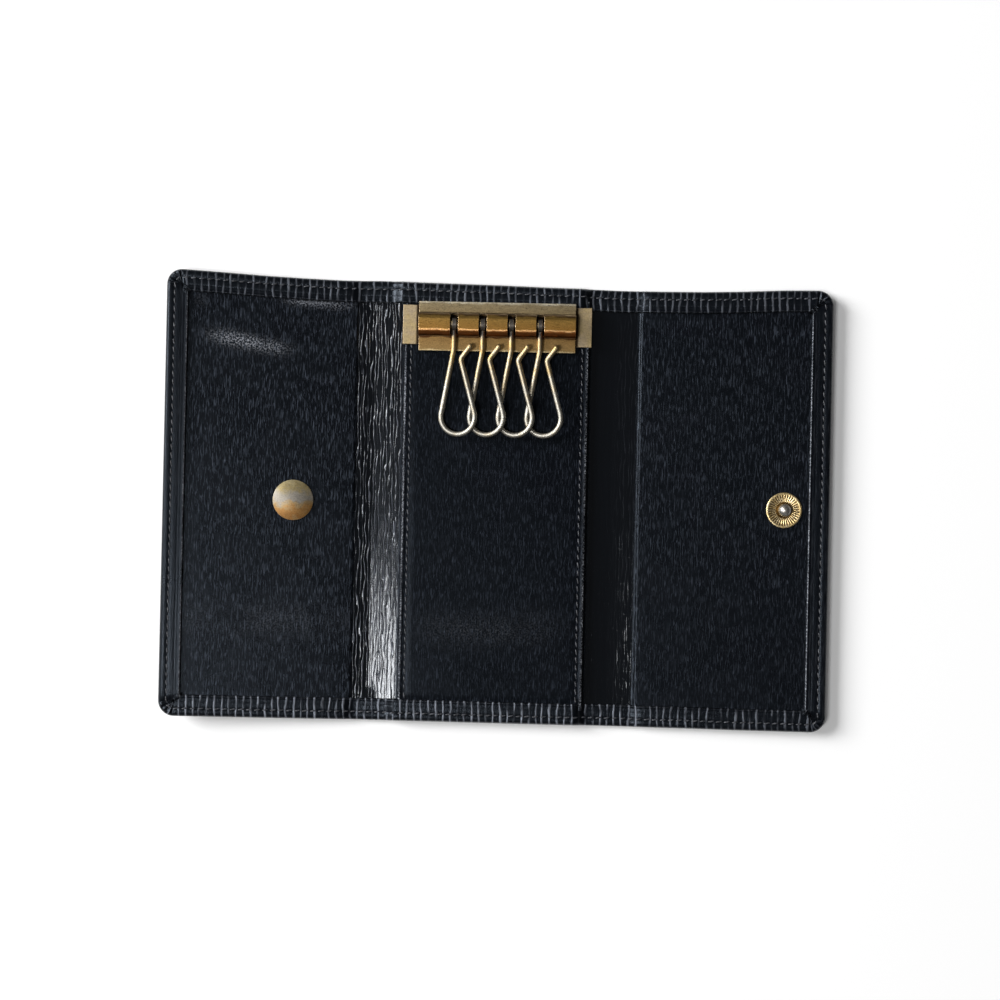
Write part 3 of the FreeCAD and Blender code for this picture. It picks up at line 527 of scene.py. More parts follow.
def mix(tree, first, second, share, way="MIX"):
    """Two colours mixed by a share. Each of the three is a socket or a value."""
    node = add_node(tree, "ShaderNodeMix", data_type="RGBA", blend_type=way)
    for name, value in (("A", first), ("B", second), ("Factor", share)):
        if isinstance(value, (tuple, list)):
            value = (*value, 1)
        join(tree, value, node.inputs[name])
    return node.outputs["Result"]


def emboss(tree, height, depth, shader):
    """Relief on a surface, as deep as the height socket says. Gives its node."""
    relief = add_node(tree, "ShaderNodeBump")
    relief.inputs["Distance"].default_value = depth
    join(tree, height, relief.inputs["Height"])
    join(tree, relief.outputs["Normal"], shader.inputs["Normal"])
    return relief


def black_leather(name, grain_size, grain_depth, pore_depth, ridge_size, gloss, shine, streak, crests_and_highlights=None):
    """Black leather with a navy cast, pale with painted sheen and highlights, and polished where it creases.

    Its ribs or folds of skin, when given, are how strongly their crests are painted pale as a highlight, the
    colour of that painted highlight, and the heights of their crests and of the swell between them.
    """
    material, tree, skin = new_material(name)
    skin.inputs["Specular IOR Level"].default_value = shine
    skin.inputs["Specular Tint"].default_value = leather_gleam
    skin.inputs["Coat Roughness"].default_value = polish_roughness
    place = add_node(tree, "ShaderNodeAttribute", attribute_name="cut_place").outputs["Vector"]
    sheen_and_polish = add_node(tree, "ShaderNodeAttribute", attribute_name="rubbed").outputs["Fac"]
    grain = add_node(tree, "ShaderNodeGroup", node_tree=leather_grain)
    join(tree, place, grain.inputs["Place"])
    for socket, size in zip(grain_sizes, (*grain_size, leather_patch, *ridge_size)):
        grain.inputs[socket].default_value = size * MM

    # A negative mark thins the grain's pale streaks: over the spines, and as painted shade over the right
    # flap.
    streaks = remap(tree, grain.outputs["Grain"], 0.52, 0.80)
    streaks = times(tree, streaks, remap(tree, sheen_and_polish, -1, 0))
    tone = mix(tree, leather_black, streak, streaks)
    # Painted sheen and highlights: a positive mark lightens the tone towards the sheen colour, first in
    # specks and then solidly.
    specks = times(tree, sheen_and_polish, remap(tree, grain.outputs["Specks"], 0.46, 0.66))
    sheen_marks = combine(tree, "MAXIMUM", specks, remap(tree, sheen_and_polish, 1, 2))
    sheen_marks = times(tree, sheen_marks, remap(tree, grain.outputs["Patches"], 0.36, 0.6, 0.25, 1))
    tone = mix(tree, tone, painted_sheen_colour, sheen_marks)
    rough = remap(tree, grain.outputs["Patches"], 0.25, 0.75, gloss - 0.015, gloss + 0.025)
    rough = combine(tree, "ADD", rough, remap(tree, sheen_and_polish, -1, -0.5, -0.12, 0))
    join(tree, rough, skin.inputs["Roughness"])
    join(tree, remap(tree, sheen_and_polish, -1, -0.5, polish, 0), skin.inputs["Coat Weight"])

    creases = remap(tree, grain.outputs["Grain"], 0.32, 0.68, 0, grain_depth)
    pores = remap(tree, grain.outputs["Pores"], 0.3, 0.7, 0, pore_depth)
    height = combine(tree, "ADD", creases, pores)
    if crests_and_highlights:
        paint, colour, crest_height, swell_height = crests_and_highlights
        crest_and_highlight_share = axis_of(tree, place, "Z")
        crest = times(tree, grain.outputs["Ridges"], crest_and_highlight_share)
        swell = times(tree, grain.outputs["Swell"], crest_and_highlight_share)
        # Painted highlight: the crests are lightened towards the given colour.
        tone = mix(tree, tone, colour, times(tree, crest, paint))
        height = combine(tree, "ADD", height, times(tree, crest, crest_height / MM))
        height = combine(tree, "ADD", height, times(tree, swell, swell_height / MM))
    join(tree, tone, skin.inputs["Base Color"])
    relief = emboss(tree, height, MM, skin)
    join(tree, relief.outputs["Normal"], skin.inputs["Coat Normal"])
    return material


# Its rib crests are painted pale as highlights of the window light.
ribbed_leather = black_leather(
    "ribbed_leather",
    grain_size=(0.4, 2.5),
    grain_depth=0.012,
    pore_depth=0.004,
    ridge_size=(rib_pitch / MM, 6, 0.35),
    gloss=0.28,
    shine=0.20,
    streak=(0.005, 0.006, 0.009),
    crests_and_highlights=(0.75, (0.24, 0.258, 0.30), rib_height, 0),
)


def cross_fold(piece):
    """Bakes the piece's placement into its mesh."""
    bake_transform(piece)


stretches = {
    "left_flap": (left_part, left_edge, -1),
    "left_spine": (left_part, 0.0, 0),
    "right_spine": (0.0, right_part, 0),
    "right_flap": (right_part, right_edge, 1),
}
for part, (inner, outer, side) in stretches.items():
    skin = outer_leather(f"outer_leather_{part}", inner, outer, side)
    punch(skin, part)
    skin.data.materials.append(ribbed_leather)
    cross_fold(skin)
    covers = [f"{part}_cover"]
    if part == "left_spine":
        covers.append("centre_cover")
    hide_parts(*covers)

# Lining
# One skin of smooth black leather glued over the boards, its edge held under the hem. Years of folding have
# drawn it into upright wrinkles over both spines. It is parted where the outer leather is.
flap_lining_top = 1.9 * MM
lining_thick = 0.4 * MM
lining_inset = 3.9 * MM
lining_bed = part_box("centre_lining")[1].z
wrinkle_pitch = 1.5 * MM
fold_of_skin = 0.09 * MM
fold_swell = 0.012 * MM
wrinkle_depth = 0.03 * MM
wrinkle_step = 0.17 * MM
lining_row_step = 0.9 * MM
right_wrinkle_share = 0.2
right_crest_and_highlight_share = 0.1
right_flap_shade_top = 0.3
right_flap_shade_bottom = 0.5
spine_section_width = 11.3 * MM
panel_low, panel_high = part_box("key_panel_face")
left_spine_section = [
    (-0.25, 1.90), (-0.05, 1.82), (0.15, 1.60), (0.3, 1.54), (1.0, 1.45), (2.5, 1.18), (4.2, 0.98),
    (5.5, 1.12), (8.0, 1.47), (11.0, 1.86), (12.4, 1.82), (15.0, 1.36), (17.0, 1.30),
]
right_spine_section = [
    (-0.15, 1.90), (0.0, 1.80), (0.12, 1.60), (0.25, 1.42), (0.45, 1.32), (1.0, 1.29), (4.0, 1.22),
    (6.0, 1.20), (11.0, 1.30), (17.0, 1.30),
]
# Painted sheen: soft bands and spots of reflected window light, on the left flap and across the key panel.
sheen_places = [
    (-59.8, 36.4, 8.5, 1.4, -7, 0.95), (-43.4, 46.7, 7.0, 0.8, -2, 1.5), (-33.0, 42.0, 0.7, 2.6, 0, 0.4),
    (-71.0, 45.3, 1.6, 1.4, 0, 0.3), (-53.0, -29.5, 24.0, 4.0, 0, 0.08), (-1.0, -30.0, 16.0, 4.0, 0, 0.09),
]


def sheen_spots(x, y):
    """How strongly painted sheen lightens the leather, from a list of places with their half lengths and
    widths.
    """
    total = np.zeros_like(x)
    for place_x, place_y, long, wide, turn, strength in sheen_places:
        angle = math.radians(turn)
        right = x / MM - place_x
        up = y / MM - place_y
        along = (right * math.cos(angle) + up * math.sin(angle)) / long
        across = (up * math.cos(angle) - right * math.sin(angle)) / wide
        total += strength * np.exp(-along ** 4 - across ** 2)
    return total


def lining_top(x, y):
    """Height of the lining above the back: flat on the flaps, with a valley over each spine."""
    left_steps = np.array(left_spine_section) * MM
    right_steps = np.array(right_spine_section) * MM
    left_stretch = (panel_low.x - left_crease) / spine_section_width
    right_stretch = (right_crease - panel_high.x) / spine_section_width
    left = np.interp((x - left_crease) / left_stretch, *left_steps.T)
    right = np.interp((right_crease - x) / right_stretch, *right_steps.T)
    height = np.where(x < 0, left, right)
    valley = np.clip((flap_lining_top - height) / (0.8 * MM), 0, 1)
    near_hem = ease(np.abs(y), half_height - 7.5 * MM, half_height - 5.2 * MM)
    low = np.minimum(lining_bed - height, 0.25 * MM)
    return height + near_hem * valley * np.maximum(low, 0)


def wrinkles(x, y):
    """Upright creases of the lining over the spines, from -1 in a crease to 1 on a fold of skin."""
    lean = 0.42 * MM * np.sin(y / (6.3 * MM) + x / (2.1 * MM))
    lean = lean + 0.22 * MM * np.sin(y / (2.7 * MM) - x / (1.6 * MM) + 1.3)
    lean = lean + 0.60 * MM * np.sin(y / (19 * MM) + 0.7)
    first = np.sin(2 * math.pi * (x + lean) / wrinkle_pitch)
    other = np.sin(2 * math.pi * (x - 0.8 * lean) / (1.45 * wrinkle_pitch) + 2 * np.sin(y / (8.7 * MM)))
    swell = 0.65 + 0.35 * np.sin(y / (4.4 * MM) + x / (1.3 * MM))
    return (0.62 * first + 0.38 * other) * swell


def lining(name, start, end):
    """A part of the lining between two lines, from hem to hem."""
    breaks = [left_edge + lining_inset, left_crease - 1.2 * MM, panel_low.x + 0.4 * MM]
    breaks += [panel_high.x - 0.4 * MM, right_crease + 1.2 * MM, right_edge - lining_inset]
    steps = [1.1 * MM, wrinkle_step, 1.5 * MM, wrinkle_step, 1.1 * MM]
    stations = []
    for low, high, step in zip(breaks, breaks[1:], steps):
        low = max(low, start)
        high = min(high, end)
        if high > low:
            stations.append(spread(low, high, step))
    stations = np.unique(np.concatenate(stations).round(9))
    reach = half_height - lining_inset
    rows = spread(-reach, reach, lining_row_step)
    piece, column, row = flat_grid(name, len(stations) - 1, len(rows) - 1)
    x = stations[column]
    y = rows[row]
    in_left = ease(x, left_crease - 0.1 * MM, left_crease + 0.5 * MM)
    in_left = in_left * ease(x, panel_low.x + 0.2 * MM, panel_low.x - MM)
    in_right = ease(x, right_crease - 0.1 * MM, right_crease - 1.2 * MM)
    in_right = in_right * ease(x, panel_high.x - 0.2 * MM, panel_high.x + MM)
    creased = in_left + right_wrinkle_share * in_right
    height = lining_top(x, y) + wrinkle_depth * creased * wrinkles(x, y)
    # The folds' crests are raised and painted pale as highlights by this share: fully over the left spine,
    # and a little near the right crease.
    crest_and_highlight_share = in_left + right_crest_and_highlight_share * in_right * ease(x, right_crease - 7 * MM, right_crease - 3 * MM)
    cut_place = np.stack([x, y, crest_and_highlight_share], axis=1)
    # Painted shade: over the right flap the grain's pale streaks are thinned, more towards the bottom.
    right_flap_shade = right_flap_shade_top + (right_flap_shade_bottom - right_flap_shade_top) * ease(y, 5 * MM, -30 * MM)
    right_flap_shade = ease(x, right_crease, right_crease + 2 * MM) * right_flap_shade
    settle(piece, lie(x, y, height), cut_place, sheen_spots(x, y) - in_left - in_right - right_flap_shade)
    thicken(piece, lining_thick)
    return piece


# The folds of skin over the spines have their crests painted pale as highlights.
smooth_leather = black_leather(
    "smooth_leather",
    grain_size=(0.28, 2.3),
    grain_depth=0.005,
    pore_depth=0.0015,
    ridge_size=(0.78, 8, 0.5),
    gloss=0.27,
    shine=0.16,
    streak=(0.058, 0.069, 0.090),
    crests_and_highlights=(0.5, (0.15, 0.163, 0.195), fold_of_skin, fold_swell),
)
for part, (inner, outer, side) in stretches.items():
    start, end = sorted((inner, outer - side * lining_inset))
    skin = lining(f"lining_{part}", start, end)
    punch(skin, part)
    skin.data.materials.append(smooth_leather)
    cross_fold(skin)
    covers = [f"{part}_lining"]
    if part == "left_spine":
        covers.append("centre_lining")
    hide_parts(*covers)

# Key panel
# A flat sleeve of smooth leather over a backing, with painted edges. Its ends lie under the hems, it is sewn
# along both sides, and the key rail is clamped round its upper end.
panel_round = 0.42 * MM
panel_seam_inset = 1.6 * MM
panel_bottom = panel_low.z - 0.5 * MM
panel_end = half_height - 3.7 * MM
panel_end_top = centre_hem_top - 0.62 * MM
# Painted highlight along the top of each side edge of the sleeve, a little weaker on the right.
panel_edge_highlight = [(0.0, 0), (0.1, 0.4), (0.3, 1.35), (0.6, 0.4), (0.75, 0)]
panel_right_highlight_share = 0.85


def panel_section():
    """The section across the sleeve, from the middle of its back round the left edge, and back again."""
    left = panel_low.x
    right = panel_high.x
    top = panel_high.z
    middle = (left + right) / 2
    seam = [
        (0.55, 0.05), (0.7, 0), (0.85, -0.06), (1.0, -0.08), (1.3, -0.08), (1.6, -0.08), (1.9, -0.06),
        (2.2, -0.04), (2.8, 0),
    ]
    back_left = [(place, panel_bottom) for place in spread(middle, left + panel_round, 3 * MM)]
    turn = np.radians(np.arange(-75, 90, 15))
    thick = (top - panel_bottom) / 2
    round_x = left + panel_round * (1 - np.cos(turn))
    round_z = panel_bottom + thick * (1 + np.sin(turn))
    left_round = [*zip(round_x, round_z), (left + panel_round, top)]
    left_seam = [(left + place * MM, top + drop * MM) for place, drop in seam]
    over = [(place, top) for place in spread(left + 3.4 * MM, right - 3.4 * MM, MM)]
    half = back_left + left_round + left_seam
    mirrored = [(left + right - place, height) for place, height in reversed(half)]
    return np.array(half + over + mirrored).T


section_x, section_z = panel_section()
rows = spread(-panel_end, panel_end, 0.8 * MM)
key_panel, column, row = flat_grid("key_panel", len(section_x) - 1, len(rows) - 1)
x = section_x[column]
y = rows[row]
height = section_z[column] - panel_bottom
pressed = ease(np.abs(y), half_height - 6.6 * MM, half_height - 5.1 * MM)
height = height * (1 - pressed * (panel_high.z - panel_end_top) / (panel_high.z - panel_bottom))
wave = 0.05 * MM * np.sin(y / (9 * MM) + 0.5) + 0.03 * MM * np.sin(x / (7 * MM) + y / (15 * MM))
height = height + wave * (section_z[column] > panel_bottom + 0.6 * MM)
section_run = np.concatenate([[0], np.cumsum(np.hypot(np.diff(section_x), np.diff(section_z)))])
cut_place = np.stack([section_run[column], y, np.zeros_like(x)], axis=1)
from_edge = np.minimum(x - panel_low.x, panel_high.x - x) / MM
# Painted highlight on the sleeve's side edges, added to the painted sheen.
edge_highlight = np.interp(from_edge, *np.array(panel_edge_highlight).T) * np.where(x < 0, 1, panel_right_highlight_share)
rubbed = sheen_spots(x, y) + edge_highlight * (section_z[column] > panel_bottom + 0.8 * MM)
settle(key_panel, np.stack([x, y, panel_bottom + height], axis=1), cut_place, rubbed)
shaper = bmesh.new()
shaper.from_mesh(key_panel.data)
bmesh.ops.holes_fill(shaper, edges=[edge for edge in shaper.edges if edge.is_boundary], sides=0)
bmesh.ops.recalc_face_normals(shaper, faces=shaper.faces)
shaper.to_mesh(key_panel.data)
shaper.free()
panel_leather = black_leather(
    "panel_leather",
    grain_size=(0.27, 2.1),
    grain_depth=0.004,
    pore_depth=0.0015,
    ridge_size=(0.78, 8, 0.5),
    gloss=0.27,
    shine=0.09,
    streak=(0.028, 0.034, 0.046),
)
key_panel.data.materials.append(panel_leather)
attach(key_panel, "centre")
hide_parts("key_panel_face", "key_panel_backing")

# Sewing thread
# Black waxed thread in a lock stitch. One row holds the hem down all round, and shows on the back too,
# and a row runs up each side of the key panel.
stitch_pitch = 1.9 * MM
stitch_length = 1.55 * MM
stitch_radius = 0.19 * MM
stitch_slant = math.radians(11)
thread_sink = 0.07 * MM
thread_back = 0.18 * MM
panel_seam_end = half_height - 6.2 * MM


def seam_line(inner, outer, side):
    """Points and headings along the seam of one part, a stitch apart, from its top round to its bottom."""
    radius = corner_radius - seam_inset
    height = half_height - seam_inset
    end = outer - side * seam_inset
    if not side:
        xs = np.arange(inner + stitch_pitch / 2, outer, stitch_pitch)
        return [(x, level, 0.0) for level in (height, -height) for x in xs]
    straight = abs(end - inner) - radius
    arc = radius * math.pi / 2
    corner_x = end - side * radius
    corner_y = height - radius
    whole = 2 * (straight + arc + corner_y)
    line = []
    for run in np.arange(stitch_pitch / 2, whole, stitch_pitch):
        up = 1 if run < whole / 2 else -1
        past = min(run, whole - run)
        turn = (past - straight) / radius
        if past < straight:
            line.append((inner + side * past, up * height, 0.0))
        elif past < straight + arc:
            x = corner_x + side * radius * math.sin(turn)
            line.append((x, up * (corner_y + radius * math.cos(turn)), -up * side * turn))
        else:
            line.append((end, up * (corner_y - (past - straight - arc)), -side * math.pi / 2))
    return line


def sew(name, line, rows):
    """Short slanted stitches along a line. Each row has its surface, a height above it, and a slant."""
    stitch = bpy.data.meshes.new("stitch")
    shaper = bmesh.new()
    bmesh.ops.create_uvsphere(shaper, u_segments=8, v_segments=6, radius=1)
    for face in shaper.faces:
        face.smooth = True
    shaper.to_mesh(stitch)
    shaper.clear()
    shape = np.array([vertex.co for vertex in stitch.vertices])
    ends = np.array([-0.5, 0.5]) * stitch_length
    points = []
    for surface, above, slant in rows:
        for x, y, heading in line:
            heading = heading + slant
            level = surface(np.array([x, x])) + above
            placed = lie(x + ends * math.cos(heading), y + ends * math.sin(heading), level)
            start, end = [Vector(point) for point in placed]
            along = (end - start).normalized()
            across = Vector((0, 0, 1)).cross(along).normalized()
            upward = along.cross(across)
            half_length = along * ((end - start).length / 2)
            axes = np.array([half_length, across * stitch_radius, upward * stitch_radius])
            points.append(shape @ axes + np.array((start + end) / 2))
            shaper.from_mesh(stitch)
    piece = new_piece(name, shaper)
    piece.data.vertices.foreach_set("co", np.concatenate(points).ravel())
    piece.data.materials.append(black_thread)
    return piece


def fibrous(name, rough, scale, detail, dark, pale, tone_range, depth):
    """A dull material in two tones that follow its fibres."""
    material, tree, surface = new_material(name)
    surface.inputs["Roughness"].default_value = rough
    place = add_node(tree, "ShaderNodeTexCoord").outputs["Object"]
    fibre = noise(tree, place, scale, detail)
    tone = mix(tree, dark, pale, remap(tree, fibre, *tone_range))
    join(tree, tone, surface.inputs["Base Color"])
    emboss(tree, fibre, depth, surface)
    return material


black_thread = fibrous(
    "black_thread",
    rough=0.42,
    scale=2.2 / MM,
    detail=2,
    dark=(0.012, 0.013, 0.016),
    pale=(0.10, 0.105, 0.12),
    tone_range=(0.4, 0.7),
    depth=0.05 * MM,
)
hem_rows = [(hem_top, -thread_sink, stitch_slant), (np.zeros_like, thread_back, -stitch_slant)]
for part, (inner, outer, side) in stretches.items():
    line = seam_line(inner, outer, side)
    seam = sew(f"hem_seam_{part}", line, hem_rows)
    cross_fold(seam)

panel_rows = [(np.zeros_like, panel_high.z - thread_sink, stitch_slant)]
seam_rows = np.arange(-panel_seam_end, panel_seam_end, stitch_pitch)
for name, place in (("left", panel_low.x + panel_seam_inset), ("right", panel_high.x - panel_seam_inset)):
    line = [(place, level, math.pi / 2) for level in seam_rows]
    seam = sew(f"panel_seam_{name}", line, panel_rows)
    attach(seam, "centre")

# Stiffening boards
# A thin board of pressed leather fibre inside each flap, glued between the outer leather and the lining.
fibre_board = fibrous(
    "fibre_board",
    rough=0.9,
    scale=1.5 / MM,
    detail=5,
    dark=(0.16, 0.10, 0.06),
    pale=(0.30, 0.21, 0.14),
    tone_range=(0, 1),
    depth=0.08 * MM,
)
board_inset = 2.2 * MM
board_setback = 1.8 * MM
board_top = 1.45 * MM
board_thick = 0.6 * MM
board_step = 2 * MM
for part, start, end in (
    ("left_flap", left_edge + board_inset, left_crease - board_setback),
    ("right_flap", right_crease + board_setback, right_edge - board_inset),
):
    columns = spread(start, end, board_step)
    rows = spread(-half_height + board_inset, half_height - board_inset, board_step)
    board, column, row = flat_grid(f"stiffener_{part}", len(columns) - 1, len(rows) - 1)
    x = columns[column]
    y = rows[row]
    points = lie(x, y, np.full_like(x, board_top))
    settle(board, points, np.stack([x, y, np.zeros_like(x)], axis=1), np.zeros_like(x))
    punch(board, part)
    thicken(board, board_thick)
    board.data.materials.append(fibre_board)
    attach(board, part)
    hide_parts(f"{part}_board")

# Key rail
# A folded brass plate clamped round the key panel, and a pressed brass cover with four slots over the rod
# that the hooks swing on. The gilding has gone grey on the raised bar. Shade is painted on the plate by the
# cover's ends, and in bands on the cover.
edge_radius = 0.14 * MM
scratch_depth = 0.012 * MM
cover_low, cover_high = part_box("rail_cover")
cover_middle = (cover_low.x + cover_high.x) / 2
cover_half = (cover_high.x - cover_low.x) / 2


def metal_wear_group():
    """Fine scratches that run one way, specks of dirt, and broad patches of wear on the plating."""
    results = ("Scratches", "Specks", "Patches")
    group, taken, given = new_group("metal_wear", ["Place", "Scratch Way"], ["Patch Size"], results)

    def marks(size, detail, roughness):
        """Noise whose marks have that size."""
        scaled = combine(group, "DIVIDE", taken.outputs["Place"], size, "VectorMath", "Vector")
        return noise(group, scaled, 1, detail, roughness, 0.4)

    join(group, marks(taken.outputs["Scratch Way"], 3, 0.65), given.inputs["Scratches"])
    join(group, marks([0.3 * MM] * 3, 2, 0.5), given.inputs["Specks"])
    join(group, marks(taken.outputs["Patch Size"], 4, 0.6), given.inputs["Patches"])
    return group


metal_wear = metal_wear_group()


def worn_metal(name, paint, highlight_base, rough, patch_size, scratch_way=(0.3, 0.3, 0.3), metallic=1):
    """Plated metal with fine scratches, specks of dirt and a painted highlight along its edges. Its sizes are
    in millimetres.
    """
    material, tree, metal = new_material(name)
    metal.inputs["Metallic"].default_value = metallic
    place = add_node(tree, "ShaderNodeTexCoord").outputs["Object"]
    wear = add_node(tree, "ShaderNodeGroup", node_tree=metal_wear)
    join(tree, place, wear.inputs["Place"])
    wear.inputs["Scratch Way"].default_value = [size * MM for size in scratch_way]
    wear.inputs["Patch Size"].default_value = patch_size * MM
    tone = paint(tree, place, remap(tree, wear.outputs["Patches"], 0.38, 0.66))
    specks = remap(tree, wear.outputs["Specks"], 0.3, 0.6, 0.72, 1.05)
    tone = mix(tree, tone, specks, 1, "MULTIPLY")
    scratched = remap(tree, wear.outputs["Scratches"], 0.3, 0.7, rough - 0.09, rough + 0.09)
    join(tree, scratched, metal.inputs["Roughness"])
    rounded = add_node(tree, "ShaderNodeBevel", samples=4)
    rounded.inputs["Radius"].default_value = edge_radius
    relief = emboss(tree, wear.outputs["Scratches"], scratch_depth, metal)
    join(tree, rounded.outputs["Normal"], relief.inputs["Normal"])
    # Painted highlight: at the edges, where the rounded normal leaves the true one, the colour is lightened.
    normal = add_node(tree, "ShaderNodeNewGeometry").outputs["Normal"]
    facing = combine(tree, "DOT_PRODUCT", rounded.outputs["Normal"], normal, "VectorMath")
    edge_highlight = remap(tree, facing, 0.99, 0.85, 0, 0.8)
    edge_highlight_colour = [min(0.95, 1.7 * part) for part in highlight_base]
    join(tree, mix(tree, tone, edge_highlight_colour, edge_highlight), metal.inputs["Base Color"])
    return material


def banded(bands, bottom, top, waver):
    """A paint in bands of colour up the part from bottom to top, that waver with its patches of wear."""

    def paint(tree, place, patches):
        """The colour at that height."""
        level = combine(tree, "ADD", axis_of(tree, place, "Y"), remap(tree, patches, 0, 1, -waver, waver))
        ramp = add_node(tree, "ShaderNodeValToRGB")
        join(tree, remap(tree, level, bottom, top), ramp.inputs["Fac"])
        stops = ramp.color_ramp.elements
        first = bands[0][0]
        for count, (height, colour) in enumerate(bands):
            stop = stops[count] if count < 2 else stops.new(1)
            stop.position = (height - first) / (bands[-1][0] - first)
            stop.color = (*colour, 1)
        return ramp.outputs["Color"]

    return paint


def finish_with(material, *nodes):
    """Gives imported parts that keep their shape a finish."""
    for node in nodes:
        for kept in bpy.data.objects[node].material_slots:
            kept.material = material


# Bands up the cover: painted highlights on the flange's lower edge, along the barrel and on the bar's top
# edge, and painted shade in the grooves beside the barrel and on its lower side. The rest is the gilding's
# own colour.
rail_bands_with_light = [
    (36.2, (0.95, 0.74, 0.40)), (36.6, (0.44, 0.28, 0.11)), (39.2, (0.42, 0.25, 0.09)),
    (39.5, (0.06, 0.022, 0.008)), (39.9, (0.27, 0.09, 0.025)), (40.7, (0.36, 0.13, 0.035)),
    (41.0, (0.90, 0.52, 0.22)), (41.3, (0.46, 0.24, 0.06)), (44.2, (0.44, 0.27, 0.075)),
    (44.6, (0.12, 0.07, 0.03)), (44.95, (0.16, 0.11, 0.06)), (45.1, (0.40, 0.30, 0.16)),
    (47.2, (0.42, 0.33, 0.19)), (47.8, (0.95, 0.86, 0.66)),
]
rail_gilt = worn_metal(
    "rail_gilt",
    banded(rail_bands_with_light, rail_bands_with_light[0][0] * MM, rail_bands_with_light[-1][0] * MM, 0.18 * MM),
    highlight_base=(0.42, 0.33, 0.21),
    rough=0.34,
    patch_size=3.5,
    scratch_way=(1.6, 0.12, 0.12),
)
finish_with(rail_gilt, "rail_cover")

plate_clean = (0.47, 0.36, 0.19)
plate_rubbed = (0.42, 0.33, 0.22)
plate_shade = (0.035, 0.022, 0.012)


def plate_paint(tree, place, patches):
    """Gilding, with painted shade in the corners beside the cover's ends."""
    from_middle = combine(tree, "SUBTRACT", axis_of(tree, place, "X"), cover_middle)
    from_middle = combine(tree, "ABSOLUTE", from_middle, 0)
    # Painted shade in the narrow gaps beside the cover's ends.
    shaded_end = remap(tree, from_middle, cover_half + 0.5 * MM, cover_half + 0.9 * MM, 1, 0)
    return mix(tree, mix(tree, plate_clean, plate_rubbed, patches), plate_shade, shaded_end)


plate_gilt = worn_metal("plate_gilt", plate_paint, plate_rubbed, rough=0.48, patch_size=2.5)
finish_with(plate_gilt, "rail_clamp_plate")

# Key hooks
# Four spring wire hooks, each bent from one length, that swing on a steel rod under the cover. Their nickel
# has worn through to the brass near the rail.
hook_clean = (0.41, 0.39, 0.34)
hook_brass = (0.42, 0.30, 0.13)
hook_shade = (0.13, 0.115, 0.10)


def hook_paint(tree, place, patches):
    """Nickel, with the brass showing through near the rail, and painted shade where it runs under the cover.
    """
    level = axis_of(tree, place, "Y")
    near_rail = remap(tree, level, 24 * MM, 37 * MM, -0.25, 0.55)
    through = combine(tree, "ADD", times(tree, patches, 0.6), near_rail)
    shade_under_cover = remap(tree, level, 38.6 * MM, 40 * MM)
    return mix(tree, mix(tree, hook_clean, hook_brass, through), hook_shade, shade_under_cover)


def two_tone(clean, rubbed):
    """A paint in two tones, clean metal and patches of wear."""

    def paint(tree, place, patches):
        """The tone at that place."""
        return mix(tree, clean, rubbed, patches)

    return paint


hook_nickel = worn_metal(
    "hook_nickel", hook_paint, hook_brass, rough=0.48, patch_size=3, scratch_way=(0.25, 0.9, 0.25)
)
finish_with(hook_nickel, "key_hook_1", "key_hook_2", "key_hook_3", "key_hook_4")
rod_worn = (0.16, 0.14, 0.12)
rod_paint = two_tone((0.30, 0.28, 0.25), rod_worn)
rod_steel = worn_metal(
    "rod_steel", rod_paint, rod_worn, rough=0.4, patch_size=2, scratch_way=(0.9, 0.12, 0.12)
)
finish_with(rod_steel, "hook_rod")

# Press fastener
# Left, a domed brass cap is clenched through the flap into a socket with a split spring ring. Right, a nickel
# ball stud stands in a gilt dish with pressed flutes, and a second cap clenches it from behind.
cap_low, cap_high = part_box("snap_inner_cap")
cap_bands = [
    (0.0, (0.36, 0.21, 0.08)), (0.05, (0.34, 0.16, 0.045)), (0.24, (0.36, 0.19, 0.06)),
    (0.36, (0.34, 0.24, 0.12)), (0.48, (0.28, 0.255, 0.22)), (0.66, (0.30, 0.27, 0.22)),
    (0.84, (0.33, 0.26, 0.12)), (1.0, (0.40, 0.33, 0.18)),
]
cap_gilt = worn_metal(
    "cap_gilt",
    banded(cap_bands, cap_low.y, cap_high.y, 1.1 * MM),
    highlight_base=(0.40, 0.35, 0.24),
    rough=0.48,
    patch_size=3.2,
    metallic=0.65,
)
finish_with(cap_gilt, "snap_inner_cap", "snap_outer_cap")
stud_worn = (0.46, 0.43, 0.38)
stud_paint = two_tone((0.60, 0.58, 0.54), stud_worn)
stud_nickel = worn_metal("stud_nickel", stud_paint, stud_worn, rough=0.38, patch_size=1.2)
finish_with(stud_nickel, "snap_stud", "snap_socket", "snap_socket_spring")

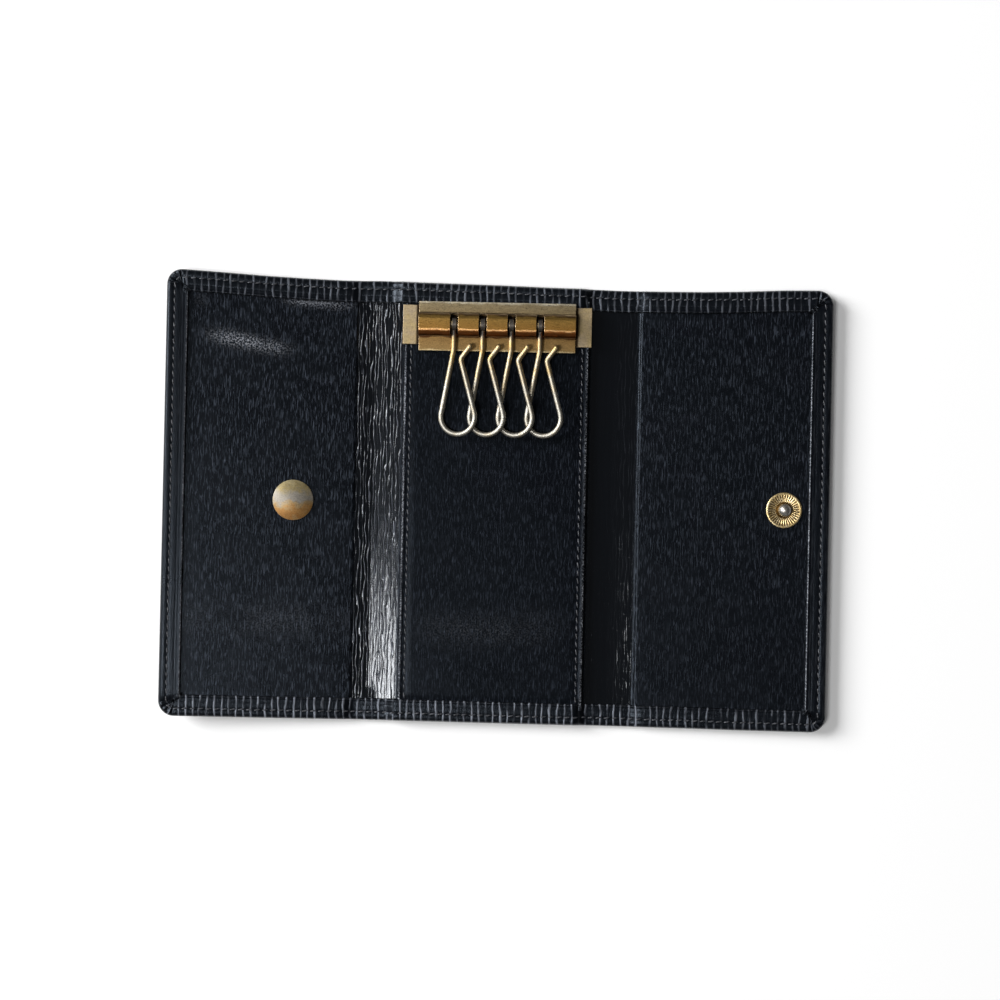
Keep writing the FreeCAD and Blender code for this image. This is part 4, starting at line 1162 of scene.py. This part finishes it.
flute_count = 36
flute_depth = 0.09 * MM
flute_inner = 1.95 * MM
flute_outer = 3.75 * MM
dish_profile = [
    (1.15, -0.25), (1.15, -0.05), (1.9, -0.05), (2.3, 0.01), (2.75, 0.08), (3.2, 0.15), (3.55, 0.2),
    (3.75, 0.235), (3.85, 0.25), (4.05, 0.25), (4.16, 0.22), (4.23, 0.15), (4.25, 0.05),
    (4.25, -0.25), (1.15, -0.25),
]
dish_clean = (0.82, 0.60, 0.27)
dish_rubbed = (0.84, 0.70, 0.44)
dish_shade = (0.14, 0.075, 0.02)
stud_low, stud_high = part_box("snap_stud_base")
dish_centre = (stud_low + stud_high) / 2
shaper = bmesh.new()
rim = [shaper.verts.new((radius * MM, 0, height * MM)) for radius, height in dish_profile]
rim_lines = [shaper.edges.new(pair) for pair in zip(rim, rim[1:])]
bmesh.ops.spin(
    shaper, geom=rim + rim_lines, axis=(0, 0, 1), cent=(0, 0, 0), steps=flute_count * 4, angle=2 * math.pi,
    use_merge=True,
)
bmesh.ops.remove_doubles(shaper, verts=shaper.verts, dist=0.002 * MM)
for vert in shaper.verts:
    reach = math.hypot(vert.co.x, vert.co.y)
    if flute_inner < reach < flute_outer - 0.01 * MM and vert.co.z > -0.1 * MM:
        fade = math.sin(math.pi * (reach - flute_inner) / (flute_outer - flute_inner)) ** 0.5
        vert.co.z += flute_depth * fade * math.cos(flute_count * math.atan2(vert.co.y, vert.co.x))
bmesh.ops.recalc_face_normals(shaper, faces=shaper.faces)
set_down = Matrix.Translation(dish_centre) @ Matrix.Rotation(-right_tilt, 4, "Y")
bmesh.ops.transform(shaper, matrix=set_down, verts=shaper.verts)
snap_dish = new_piece("snap_fluted_dish", shaper)
snap_dish.data.shade_smooth()


def dish_paint(tree, place, patches):
    """Gilding, with painted shade in the flutes and in a ring round the base of the stud."""
    spot = combine(tree, "SUBTRACT", place, dish_centre, "VectorMath", "Vector")
    reach = combine(tree, "DISTANCE", place, dish_centre, "VectorMath")
    bearing = combine(tree, "ARCTAN2", axis_of(tree, spot, "Y"), axis_of(tree, spot, "X"))
    flutes = combine(tree, "COSINE", times(tree, bearing, flute_count), 0)
    flute_shade = remap(tree, flutes, 0.4, -0.5, 0, 0.9)
    flute_shade = times(tree, flute_shade, remap(tree, reach, flute_outer - 0.1 * MM, flute_outer, 1, 0))
    foot_shade = remap(tree, reach, 1.9 * MM, 2.15 * MM, 1, 0)
    dark = combine(tree, "MAXIMUM", flute_shade, foot_shade)
    return mix(tree, mix(tree, dish_clean, dish_rubbed, patches), dish_shade, dark)


dish_gilt = worn_metal("dish_gilt", dish_paint, dish_rubbed, rough=0.38, patch_size=1.5)
snap_dish.data.materials.append(dish_gilt)
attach(snap_dish, "right_flap")
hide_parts("snap_stud_base")
